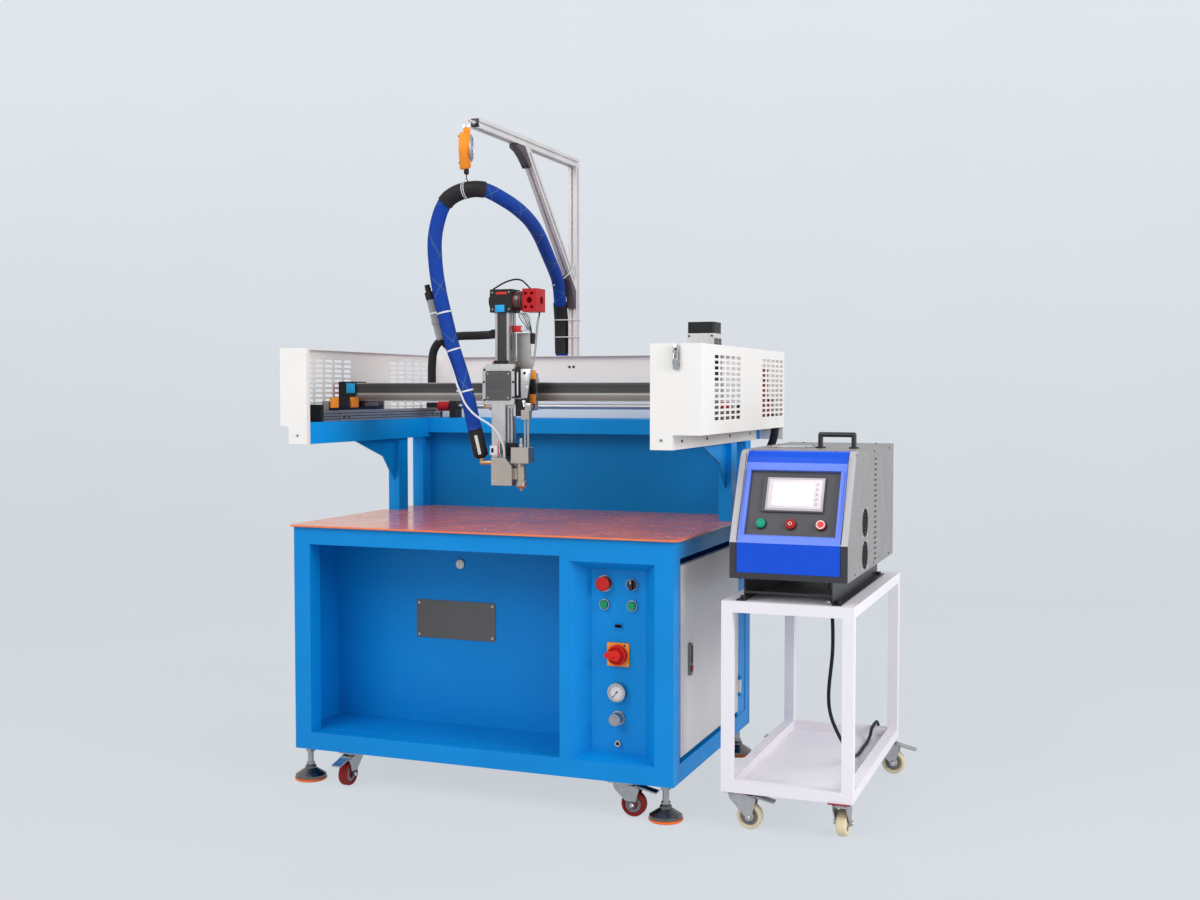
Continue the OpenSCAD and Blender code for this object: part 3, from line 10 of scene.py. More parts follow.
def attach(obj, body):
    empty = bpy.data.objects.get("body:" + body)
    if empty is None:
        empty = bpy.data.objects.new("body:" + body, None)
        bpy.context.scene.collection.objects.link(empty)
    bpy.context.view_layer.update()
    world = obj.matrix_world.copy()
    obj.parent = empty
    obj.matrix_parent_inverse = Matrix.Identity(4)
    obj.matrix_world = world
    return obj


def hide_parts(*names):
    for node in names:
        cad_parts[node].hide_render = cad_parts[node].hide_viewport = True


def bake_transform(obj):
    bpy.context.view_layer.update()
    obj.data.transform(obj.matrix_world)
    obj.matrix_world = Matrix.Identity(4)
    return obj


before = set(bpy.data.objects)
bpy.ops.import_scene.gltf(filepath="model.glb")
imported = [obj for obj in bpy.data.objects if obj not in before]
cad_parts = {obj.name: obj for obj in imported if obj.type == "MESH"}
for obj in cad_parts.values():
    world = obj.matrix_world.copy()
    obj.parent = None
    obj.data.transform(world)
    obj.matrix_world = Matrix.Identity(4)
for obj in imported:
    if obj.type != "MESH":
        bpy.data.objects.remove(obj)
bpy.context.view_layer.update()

bl_info = {
    "name": "Glue dispensing machine",
    "version": (1, 0, 0),
    "blender": (4, 5, 0),
    "location": "View3D > Sidebar > Glue machine",
    "description": "Finishes, hoses and fittings of a bench with a glue gantry and its melter",
    "category": "Object",
}


class MachineColours(bpy.types.PropertyGroup):
    """Paints and plastics of the machine"""

    bench: FloatVectorProperty(name="Bench paint", description="Powder coat of bench and gantry",
                               subtype="COLOR", default=(0.001, 0.235, 0.64), min=0, max=1)
    covers: FloatVectorProperty(name="Cover paint", description="Powder coat of covers and door",
                                subtype="COLOR", default=(0.80, 0.78, 0.76), min=0, max=1)
    table: FloatVectorProperty(name="Table top", description="Glossy coat of the table",
                               subtype="COLOR", default=(0.80, 0.19, 0.065), min=0, max=1)
    trolley: FloatVectorProperty(name="Trolley paint", description="Powder coat of the trolley",
                                 subtype="COLOR", default=(0.78, 0.75, 0.80), min=0, max=1)
    melter: FloatVectorProperty(name="Melter front", description="Paint of the melter's front",
                                subtype="COLOR", default=(0.006, 0.075, 0.62), min=0, max=1)
    housing: FloatVectorProperty(name="Melter housing", description="Paint of the melter's sides",
                                 subtype="COLOR", default=(0.26, 0.25, 0.25), min=0, max=1)
    hose: FloatVectorProperty(name="Hose cover", description="Woven cover of the heated hose",
                              subtype="COLOR", default=(0.005, 0.046, 0.31), min=0, max=1)
    orange: FloatVectorProperty(name="Orange parts", description="Balancer, end caps and pads",
                                subtype="COLOR", default=(0.85, 0.27, 0.025), min=0, max=1)


class MachineSizes(bpy.types.PropertyGroup):
    """Sizes of hoses, cables and small fittings"""

    hose: FloatProperty(name="Hose", description="Diameter of the heated hose",
                        unit="LENGTH", default=0.0425, min=0.03, max=0.06)
    link: FloatProperty(name="Link hose", description="Diameter of the hose to the melter",
                        unit="LENGTH", default=0.026, min=0.015, max=0.04)
    duct: FloatProperty(name="Cable duct", description="Diameter of the duct to the head",
                        unit="LENGTH", default=0.026, min=0.015, max=0.04)
    cord: FloatProperty(name="Power cord", description="Diameter of the power cord",
                        unit="LENGTH", default=0.010, min=0.006, max=0.014)
    tie: FloatProperty(name="Cable tie", description="Width of a cable tie",
                       unit="LENGTH", default=0.005, min=0.003, max=0.009)
    turns: IntProperty(name="Cord turns", description="Turns of the coiled power cord",
                       default=5, min=3, max=5)


class StudioLight(bpy.types.PropertyGroup):
    """Lamps, sky and backdrop"""

    key: FloatProperty(name="Key lamp", description="Power of the large lamp in front",
                       unit="POWER", default=100, min=0, max=2000)
    side: FloatProperty(name="Side lamp", description="Power of the lamp on the right",
                        unit="POWER", default=135, min=0, max=2000)
    sky: FloatProperty(name="Sky", description="Strength of the even light", default=0.72,
                       min=0, max=2)
    backdrop: FloatVectorProperty(name="Backdrop", description="Colour of floor and backdrop",
                                  subtype="COLOR", default=(0.715, 0.76, 0.80), min=0, max=1)


# The frame's origin, in millimetres from the bench's left side and from its front
ORIGIN_X, ORIGIN_Y = 857.5, 447.5


def at(x, y, z):
    """Place in the frame, from machine millimetres: right of the bench's left side, behind its
    front and above the floor."""
    return Vector(((x - ORIGIN_X) / 1000, (y - ORIGIN_Y) / 1000, z / 1000))


def machine_mm(spot):
    """Machine millimetres of a place in the frame."""
    return spot.x * 1000 + ORIGIN_X, spot.y * 1000 + ORIGIN_Y, spot.z * 1000


# ---------------------------------------------------------------- node groups and materials

def wire(tree, kind, inputs=(), **settings):
    """One shader node with its settings made and its inputs fed by values or sockets."""
    made = tree.nodes.new("ShaderNode" + kind)
    for name, value in settings.items():
        setattr(made, name, value)
    for name, value in dict(inputs).items():
        if isinstance(value, bpy.types.NodeSocket):
            tree.links.new(value, made.inputs[name])
        else:
            made.inputs[name].default_value = value
    return made


def effect(name, inputs, outputs, build):
    """Shader node group, made once and then reused by its name."""
    if name in bpy.data.node_groups:
        return bpy.data.node_groups[name]
    tree = bpy.data.node_groups.new(name, "ShaderNodeTree")
    for label, kind, value in inputs:
        made = tree.interface.new_socket(label, in_out="INPUT", socket_type="NodeSocket" + kind)
        made.default_value = value
    for label, kind in outputs:
        tree.interface.new_socket(label, in_out="OUTPUT", socket_type="NodeSocket" + kind)
    entry, leave = tree.nodes.new("NodeGroupInput"), tree.nodes.new("NodeGroupOutput")
    for label, socket in build(tree, entry.outputs).items():
        tree.links.new(socket, leave.inputs[label])
    return tree


def cloud(tree, where, scale, detail=2.0, rough=0.5):
    """Noise value at a place."""
    return wire(tree, "TexNoise", {"Vector": where, "Scale": scale, "Detail": detail,
                                   "Roughness": rough}).outputs["Fac"]


def spread(tree, value, low, high, start=0.3, end=0.7):
    """Noise value stretched to a range."""
    return wire(tree, "MapRange", {"Value": value, "From Min": start, "From Max": end,
                                   "To Min": low, "To Max": high}).outputs[0]


def sums(tree, kind, a, b):
    """Two numbers joined by one sum."""
    return wire(tree, "Math", {0: a, 1: b}, operation=kind).outputs[0]


def shaded(tree, colour, factor):
    """Colour made lighter or darker by a factor."""
    return wire(tree, "VectorMath", {0: colour, "Scale": factor}, operation="SCALE").outputs[0]


def place(tree):
    """Object coordinates."""
    return wire(tree, "TexCoord").outputs["Object"]


def build_coat(tree, given):
    """Paint with clouds of tone and gloss, and an orange peel for the bump."""
    where = place(tree)
    tone = sums(tree, "ADD", spread(tree, cloud(tree, where, 3.5, 4), -0.5, 0.5),
                spread(tree, cloud(tree, where, 60.0, 3), -0.12, 0.12))
    factor = sums(tree, "ADD", 1.0, sums(tree, "MULTIPLY", given["Clouding"], tone))
    colour = shaded(tree, given["Colour"], factor)
    gloss = sums(tree, "ADD", given["Gloss"], sums(tree, "MULTIPLY", spread(tree, cloud(
        tree, where, 14.0, 5), -0.5, 0.5), 0.14))
    peel = cloud(tree, where, given["Peel"], 1)
    return {"Colour": colour, "Roughness": gloss, "Height": peel}


def build_metal(tree, given):
    """Metal with brushed or drawn lines and soft patches."""
    where = wire(tree, "Mapping", {"Vector": place(tree), "Scale": given["Lay"]}).outputs[0]
    lines = cloud(tree, where, 1.0, 3, 0.6)
    patch = cloud(tree, place(tree), 9.0, 3)
    factor = sums(tree, "ADD", spread(tree, lines, 0.90, 1.08), spread(tree, patch, -0.06, 0.06))
    gloss = sums(tree, "ADD", given["Gloss"], sums(tree, "ADD", spread(tree, lines, -0.07, 0.07),
                 spread(tree, patch, -0.05, 0.05)))
    return {"Colour": shaded(tree, given["Colour"], factor), "Roughness": gloss, "Height": lines}


def build_plastic(tree, given):
    """Plastic with a fine moulded grain and soft patches."""
    where = place(tree)
    grain = cloud(tree, where, given["Grain"], 2)
    patch = cloud(tree, where, 12.0, 4)
    factor = sums(tree, "ADD", spread(tree, grain, 0.95, 1.05), spread(tree, patch, -0.07, 0.07))
    gloss = sums(tree, "ADD", given["Gloss"], spread(tree, patch, -0.07, 0.07))
    return {"Colour": shaded(tree, given["Colour"], factor), "Roughness": gloss, "Height": grain}


def build_weave(tree, given):
    """Braided sleeve on a tube's own UV map: U runs along it and V round it."""
    uv = wire(tree, "UVMap").outputs[0]
    parts = wire(tree, "SeparateXYZ", {0: uv})
    along = sums(tree, "MULTIPLY", parts.outputs[0], given["Along"])
    round_it = sums(tree, "MULTIPLY", parts.outputs[1], given["Round"])
    strands = [wire(tree, "Math", {0: sums(tree, "MULTIPLY", sums(tree, kind, along, round_it),
                                           math.tau)}, operation="SINE").outputs[0]
               for kind in ("ADD", "SUBTRACT")]
    height = sums(tree, "MULTIPLY", sums(tree, "ADD", *strands), 0.5)
    patch = cloud(tree, place(tree), 22.0, 4)
    factor = sums(tree, "ADD", spread(tree, height, 0.78, 1.14, -1, 1),
                  spread(tree, patch, -0.12, 0.12))
    woven = shaded(tree, given["Colour"], factor)
    # Two faint marking threads that wind round the sleeve against each other
    turns = sums(tree, "MULTIPLY", given["Along"], 0.036)
    for kind in ("ADD", "SUBTRACT"):
        wound = sums(tree, kind, sums(tree, "MULTIPLY", parts.outputs[0], turns), parts.outputs[1])
        line = sums(tree, "LESS_THAN", wire(tree, "Math", {0: wound}, operation="FRACT").outputs[0],
                    0.035)
        woven = wire(tree, "Mix", {0: sums(tree, "MULTIPLY", line, 0.32), 6: woven,
                                   7: (0.10, 0.22, 0.16, 1)}, data_type="RGBA").outputs[2]
    return {"Colour": woven, "Roughness": spread(tree, patch, 0.62, 0.82), "Height": height}


def build_box(tree, given):
    """Mask that is 1 inside a box."""
    where = place(tree)
    low = wire(tree, "VectorMath", {0: where, 1: given["Low"]}, operation="SUBTRACT").outputs[0]
    high = wire(tree, "VectorMath", {0: given["High"], 1: where}, operation="SUBTRACT").outputs[0]
    least = wire(tree, "VectorMath", {0: low, 1: high}, operation="MINIMUM").outputs[0]
    parts = wire(tree, "SeparateXYZ", {0: least}).outputs
    both = sums(tree, "MINIMUM", sums(tree, "MINIMUM", parts[0], parts[1]), parts[2])
    return {"Mask": sums(tree, "GREATER_THAN", both, 0.0)}


def group_of(kind):
    """Node group of a style, or of the box that bounds a region."""
    colour = ("Colour", "Color", (0.5, 0.5, 0.5, 1))
    gloss = ("Gloss", "Float", 0.5)
    out = [("Colour", "Color"), ("Roughness", "Float"), ("Height", "Float")]
    if kind == "coat":
        return effect("mottled_coat", [colour, gloss, ("Clouding", "Float", 0.1),
                                       ("Peel", "Float", 700.0)], out, build_coat)
    if kind == "metal":
        return effect("brushed_metal", [colour, gloss, ("Lay", "Vector", (900, 900, 9))],
                      out, build_metal)
    if kind == "plastic":
        return effect("moulded_grain", [colour, gloss, ("Grain", "Float", 1200.0)],
                      out, build_plastic)
    if kind == "weave":
        return effect("woven_sleeve", [colour, ("Along", "Float", 200.0), ("Round", "Float", 12.0)],
                      out, build_weave)
    return effect("inside_box", [("Low", "Vector", (0, 0, 0)), ("High", "Vector", (1, 1, 1))],
                  [("Mask", "Float")], build_box)


def coat(colour, gloss=0.42, clouding=0.08, peel=700.0):
    """Powder coated or painted steel."""
    return ("coat", 0.0, {"Colour": (*colour, 1), "Gloss": gloss, "Clouding": clouding,
                          "Peel": peel})


def metal(colour, gloss=0.35, lay=(900, 900, 9), share=1.0):
    """Bare or anodised metal with the lines of its making; lay is small along the lines."""
    return ("metal", share, {"Colour": (*colour, 1), "Gloss": gloss, "Lay": lay})


def plastic(colour, gloss=0.45, grain=1200.0):
    """Moulded plastic or rubber."""
    return ("plastic", 0.0, {"Colour": (*colour, 1), "Gloss": gloss, "Grain": grain})


def weave(colour, along, round_it):
    """Woven sleeve of a hose."""
    return ("weave", 0.0, {"Colour": (*colour, 1), "Along": along, "Round": round_it})


BUMP_DEPTH = 0.0006
SPECULAR = 0.18


def finish(name, style, regions=(), bump=0.25, edge=0.0007, **shader_values):
    """Material of one style, with other styles inside boxes given in machine millimetres."""
    if name in bpy.data.materials:
        return bpy.data.materials[name]
    made = bpy.data.materials.new(name)
    made.use_nodes = True
    tree = made.node_tree
    shader = tree.nodes["Principled BSDF"]

    def drawn(this):
        kind, metallic, inputs = this
        node = tree.nodes.new("ShaderNodeGroup")
        node.node_tree = group_of(kind)
        for label, value in inputs.items():
            node.inputs[label].default_value = value
        return node.outputs["Colour"], node.outputs["Roughness"], node.outputs["Height"], metallic

    colour, rough, height, metallic = drawn(style)
    for low, high, other in regions:
        mask = tree.nodes.new("ShaderNodeGroup")
        mask.node_tree = group_of("box")
        mask.inputs["Low"].default_value = at(*low)
        mask.inputs["High"].default_value = at(*high)
        part = mask.outputs["Mask"]
        c2, r2, h2, m2 = drawn(other)
        colour = wire(tree, "Mix", {0: part, 6: colour, 7: c2}, data_type="RGBA").outputs[2]
        rough = wire(tree, "Mix", {0: part, 2: rough, 3: r2}).outputs[0]
        height = wire(tree, "Mix", {0: part, 2: height, 3: h2}).outputs[0]
        if isinstance(metallic, bpy.types.NodeSocket) or metallic != m2:
            metallic = wire(tree, "Mix", {0: part, 2: metallic, 3: m2}).outputs[0]
    tree.links.new(colour, shader.inputs["Base Color"])
    tree.links.new(rough, shader.inputs["Roughness"])
    if isinstance(metallic, bpy.types.NodeSocket):
        tree.links.new(metallic, shader.inputs["Metallic"])
    else:
        shader.inputs["Metallic"].default_value = metallic
    bumped = wire(tree, "Bump", {"Strength": bump, "Distance": BUMP_DEPTH, "Height": height})
    if edge:
        soft = wire(tree, "Bevel", {"Radius": edge}, samples=4)
        tree.links.new(soft.outputs[0], bumped.inputs["Normal"])
    tree.links.new(bumped.outputs[0], shader.inputs["Normal"])
    shader_values.setdefault("Specular_IOR_Level", SPECULAR)
    for label, value in shader_values.items():
        shader.inputs[label.replace("_", " ")].default_value = value
    return made


def dress(material, *nodes):
    """Gives CAD nodes their material."""
    for name in nodes:
        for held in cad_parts[name].material_slots:
            held.material = material


# ---------------------------------------------------------------- shared finishes and ways

STOCK = {
    "dark_steel": (metal((0.05, 0.05, 0.055), 0.42, (400, 400, 400)), {}),
    "bright_steel": (metal((0.55, 0.55, 0.56), 0.3, (300, 300, 300)), {}),
    "black_moulding": (plastic((0.014, 0.014, 0.016), 0.45, 700), {}),
    "sensor_orange": (plastic((0.80, 0.27, 0.03), 0.4, 700), {}),
    "tag_red": (plastic((0.62, 0.03, 0.03), 0.4, 900), {}),
    "tag_cyan": (plastic((0.02, 0.36, 0.72), 0.35, 900), {}),
    "tie_white": (plastic((0.62, 0.63, 0.68), 0.5, 900), {"edge": 0}),
    "black_sleeve": (plastic((0.018, 0.018, 0.02), 0.6, 500), {"bump": 0.5, "edge": 0})}
OUT, BACK, RIGHT, LEFT, UP = (0, -1, 0), (0, 1, 0), (1, 0, 0), (-1, 0, 0), (0, 0, 1)


def stock(*names):
    """Finishes that several pieces share."""
    return [finish(name, STOCK[name][0], **STOCK[name][1]) for name in names]


# ---------------------------------------------------------------- shapes

def join(bm, form, matrix, tone=0):
    """Adds a form that was made at the origin, stood in its place and given its material."""
    for face in form.faces:
        face.material_index = tone
    bmesh.ops.recalc_face_normals(form, faces=form.faces)
    form.transform(matrix)
    held = bpy.data.meshes.new("form")
    form.to_mesh(held)
    form.free()
    bm.from_mesh(held)
    bpy.data.meshes.remove(held)


def ease(form, edge, steps=2):
    """Rounds the sharp edges of a form, in millimetres."""
    sharp = [e for e in form.edges if e.is_manifold and e.calc_face_angle() > math.radians(30)]
    bmesh.ops.bevel(form, geom=sharp, offset=edge / 1000, offset_type="OFFSET", segments=steps,
                    profile=0.5, affect="EDGES", material=-1, clamp_overlap=True)


def brick(size, edge=0.0, steps=2):
    """Block round the origin with rounded edges; only its size is in metres."""
    form = bmesh.new()
    bmesh.ops.create_cube(form, size=1.0)
    bmesh.ops.scale(form, vec=size, verts=form.verts)
    if edge:
        ease(form, edge, steps)
    return form


def add_block(bm, low, high, edge=0.6, steps=2, tone=0):
    """Block between two corners in machine millimetres, with rounded edges."""
    a, b = at(*low), at(*high)
    join(bm, brick(b - a, edge, steps), Matrix.Translation((a + b) / 2), tone)


def spot_of(place_mm):
    """A vector is a place in the frame already, other triples are machine millimetres."""
    return place_mm if isinstance(place_mm, Vector) else at(*place_mm)


def spun(axis, degrees):
    """Matrix that turns a form about an axis."""
    return Matrix.Rotation(math.radians(degrees), 4, axis)


def stood(x, y, z, turn):
    """Matrix that turns a form and puts it at a place in machine millimetres."""
    return Matrix.Translation(at(x, y, z)) @ turn


def disc(radius, height):
    """Profile of a flat disc."""
    return [(0, 0), (radius, 0), (radius, height), (0, height)]


def arc(radius, degrees, x=0.0, y=0.0):
    """Points of an arc at the given degrees."""
    return [(x + radius * math.cos(a), y + radius * math.sin(a))
            for a in map(math.radians, degrees)]


def add_turned(bm, base, along, profile, steps=40, tone=0):
    """Turned form. The profile's pairs are radius and height in millimetres."""
    form = bmesh.new()
    line = [form.verts.new((r / 1000, 0, h / 1000)) for r, h in profile]
    edges = [form.edges.new(pair) for pair in zip(line, line[1:])]
    bmesh.ops.spin(form, geom=line + edges, cent=(0, 0, 0), axis=(0, 0, 1), angle=math.tau,
                   steps=steps, use_merge=True)
    bmesh.ops.remove_doubles(form, verts=form.verts, dist=1e-6)
    turn = Vector(along).to_track_quat("Z", "Y").to_matrix().to_4x4()
    join(bm, form, Matrix.Translation(spot_of(base)) @ turn, tone)


def add_ring(bm, base, along, inner, width, thick=1.2, tone=0, steps=36):
    """Closed band round an axis, such as a cable tie or a bezel."""
    add_turned(bm, base, along, [(inner, 0), (inner + thick, 0), (inner + thick, width),
                                 (inner, width), (inner, 0)], steps, tone)


def add_rod(bm, start, end, radius, edge=0.5, steps=32, tone=0):
    """Round rod between two places in machine millimetres, with eased ends."""
    length = (spot_of(end) - spot_of(start)).length * 1000
    e = min(edge, radius / 2, length / 3)
    profile = [(0, 0), (radius - e, 0), (radius, e), (radius, length - e), (radius - e, length),
               (0, length)]
    add_turned(bm, start, spot_of(end) - spot_of(start), profile, steps, tone)


def add_screws(bm, spots, along, radius=4.0, height=2.4, tone=0):
    """Screw heads with dark hexagon sockets, which are in the material after the heads' own; the
    dark socket is painted shade of the hole.
    """
    head = [(0, 0), (radius, 0), (radius, height * 0.7), (radius - 0.5, height), (0, height)]
    low, high, half = height - 0.1, height + 0.06, radius * 0.5
    for spot in spots:
        add_turned(bm, spot, along, head, 20, tone)
        add_turned(bm, spot, along, [(0, low), (half, low), (half, high), (0, high)], 6, tone + 1)


def add_plate(bm, outline, matrix, thickness, edge=0.5, tone=0):
    """Flat plate from its outline in millimetres, with eased edges."""
    form = bmesh.new()
    face = form.faces.new([form.verts.new((x / 1000, y / 1000, 0)) for x, y in outline])
    raised = bmesh.ops.extrude_face_region(form, geom=[face], use_keep_orig=True)["geom"]
    bmesh.ops.translate(form, vec=(0, 0, thickness / 1000),
                        verts=[g for g in raised if isinstance(g, bmesh.types.BMVert)])
    bmesh.ops.recalc_face_normals(form, faces=form.faces)
    ease(form, edge)
    join(bm, form, matrix, tone)


def place_object(name, mesh, crease):
    """Object of a mesh in the scene, smooth but for creases."""
    mesh.shade_smooth()
    mesh.set_sharp_from_angle(angle=math.radians(crease))
    piece = bpy.data.objects.new(name, mesh)
    bpy.context.scene.collection.objects.link(piece)
    return piece


def put(name, bm, body, slot, *materials):
    """Finished piece, on its body when one is given."""
    mesh = bpy.data.meshes.new(name)
    bm.to_mesh(mesh)
    bm.free()
    for material in materials:
        mesh.materials.append(material)
    piece = place_object(name, mesh, 35)
    if body:
        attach(piece, body)
    return piece


def smooth_path(points, steps=6):
    """Smooth line through places in machine millimetres, as places in the frame."""
    knots = [at(*p) for p in points]
    line = [knots[0]]
    for i in range(len(knots) - 1):
        a, b = knots[i], knots[i + 1]
        before = knots[i - 1] if i else a * 2 - b
        after = knots[i + 2] if i + 2 < len(knots) else b * 2 - a
        line += geometry.interpolate_bezier(a, a + (b - before) / 6, b - (after - a) / 6, b,
                                            steps + 1)[1:]
    return line


def length_of(line):
    """Length of a line in metres."""
    return sum((b - a).length for a, b in zip(line, line[1:]))


def swept(line, diameter, sides=24):
    """Mesh of a closed tube along a line, with the UV map of the curve that swept it."""
    curve = bpy.data.curves.new("line", "CURVE")
    curve.dimensions = "3D"
    curve.bevel_depth = diameter / 2
    curve.bevel_resolution = max(1, sides // 4 - 1)
    curve.use_fill_caps = True
    spline = curve.splines.new("POLY")
    spline.points.add(len(line) - 1)
    for point, co in zip(spline.points, line):
        point.co = (*co, 1)
    carrier = bpy.data.objects.new("line", curve)
    bpy.context.scene.collection.objects.link(carrier)
    graph = bpy.context.evaluated_depsgraph_get()
    mesh = bpy.data.meshes.new_from_object(carrier.evaluated_get(graph))
    bpy.data.objects.remove(carrier)
    bpy.data.curves.remove(curve)
    bm = bmesh.new()
    bm.from_mesh(mesh)
    bmesh.ops.remove_doubles(bm, verts=bm.verts, dist=1e-6)
    bmesh.ops.recalc_face_normals(bm, faces=bm.faces)
    bm.to_mesh(mesh)
    bm.free()
    return mesh


def add_sleeve(bm, line, diameter, tone=0, sides=28):
    """Round tube along a line; line and diameter are in metres."""
    mesh = swept(line, diameter, sides)
    form = bmesh.new()
    form.from_mesh(mesh)
    bpy.data.meshes.remove(mesh)
    join(bm, form, Matrix.Identity(4), tone)


def add_tube(bm, points, diameter, tone=0, sides=12, steps=5):
    """Round tube through places in machine millimetres; the diameter is in them too."""
    add_sleeve(bm, smooth_path(points, steps), diameter / 1000, tone, sides)


# ---------------------------------------------------------------- routes, as in the part's source

HOSE = [
    (526, 163, 1062), (519.5, 163, 1088), (508, 156, 1150), (489, 148, 1230), (465, 140, 1310),
    (446, 134, 1390), (428, 130, 1470), (417, 126, 1550), (417, 122, 1630), (436, 119, 1700),
    (461, 117, 1738), (497, 117, 1758), (540, 118, 1766), (572, 128, 1765), (590, 158, 1757),
    (599, 211, 1746), (602, 269, 1736), (600, 334, 1724), (592, 409, 1710), (580, 486, 1692),
    (567, 557, 1670), (553, 625, 1645), (540, 690, 1619), (527, 756, 1592), (514, 819, 1563),
    (503, 864, 1530), (493, 896, 1495), (485, 921, 1460), (481, 937, 1423), (479, 944, 1385),
    (479, 945, 1347), (480, 945, 1309), (481, 951, 1250), (487, 963, 1200), (502, 978, 1158),
    (527, 985, 1132), (560, 982, 1116), (610, 966, 1108.5), (660, 951, 1107.5),
    (720, 946, 1107.5), (815, 946, 1107.5), (910, 946, 1107.5), (1005, 946, 1107.5),
    (1100, 946, 1107.5), (1144, 946.5, 1107.5), (1176, 940, 1107.5), (1204, 920, 1107.5),
    (1226, 897.5, 1107.5)]
SPLIT = 12  # the point of the route at the balancer's hook, where the drop ends
LINK = [
    (1226.4, 897, 1107.5), (1238, 885.3, 1107.5), (1250, 875.5, 1099), (1259, 872, 1083),
    (1261.5, 873, 1061), (1259.5, 876, 1040), (1254, 879, 1018), (1246, 882, 998),
    (1240, 888, 978), (1242, 896, 960), (1256, 901, 946), (1280, 899, 938), (1310, 886, 936),
    (1340, 864, 939), (1370, 836, 943), (1396, 812, 946), (1414, 790, 948), (1423.5, 770, 948),
    (1423.5, 752.3, 948)]
DUCT = [
    (285, 347, 1174), (285, 347, 1215), (286, 347, 1262), (292, 347, 1304), (312, 347, 1332),
    (345, 347, 1346), (395, 344, 1350), (445, 334, 1350), (495, 308, 1350), (534, 274, 1350),
    (554, 244, 1350), (559, 222, 1350)]
CORD = [
    (1611, 92, 654), (1611, 92, 625), (1611, 92, 598), (1613, 94, 560), (1613, 98, 520),
    (1611, 104, 480), (1606, 112, 440), (1600, 122, 400), (1595, 136, 360), (1593, 156, 320),
    (1595, 184, 282), (1600, 218, 246), (1606, 254, 212), (1612, 294, 180), (1616, 340, 152),
    (1617, 392, 132), (1615, 450, 119), (1613, 510, 113), (1612, 570, 113), (1612, 630, 113),
    (1612, 680, 120), (1612, 712, 136), (1612, 742, 140), (1612, 774, 140), (1612, 802, 138),
    (1612, 830, 122), (1612, 850, 92), (1611, 859, 60), (1610, 868, 32), (1611, 882, 13),
    (1615, 898, 7), (1619, 910, 6.5), (1623, 928, 6.5)]
COIL = (1560, 960)
STEP = 8  # steps of the hose's smooth line between two points


def coil_points(turns):
    """Coil that goes on from the cord's end: each layer is an outer and an inner turn, and
    every turn lies a cord's thickness from the ones beside and under it."""
    radii = [(0, 70.7), (0.12, 67), (0.85, 67), (1.0, 53), (2.5, 53), (2.65, 67), (4.15, 67),
             (4.3, 53), (9, 53)]
    heights = [(0, 6.5), (0.12, 5.5), (1.7, 5.5), (1.9, 15.5), (3.3, 15.5), (3.5, 25.5), (9, 25.5)]

    def held(table, t):
        for (a, low), (b, high) in zip(table, table[1:]):
            if t <= b:
                return low + (high - low) * (t - a) / (b - a)

    made = []
    for k in range(1, int((turns - 0.25) * 24) + 1):
        t = k / 24
        angle = math.radians(-27 + 360 * t)
        radius = held(radii, t)
        made.append((COIL[0] + radius * math.cos(angle), COIL[1] + radius * math.sin(angle),
                     held(heights, t)))
    return made


def drop_parts():
    """The hose's smooth line, and its drop in thirds with the bodies that each joins."""
    route = smooth_path(HOSE, STEP)
    drop = route[:SPLIT * STEP + 1]
    whole = length_of(drop)
    cuts = [min(range(len(drop)), key=lambda i: abs(length_of(drop[:i + 1]) * 3 - k * whole))
            for k in range(4)]
    bodies = ["head", "cross_slide", "bridge", "bench"]
    return route, [(cuts[i], cuts[i + 1], bodies[i], bodies[i + 1]) for i in range(3)]


# ---------------------------------------------------------------- operators

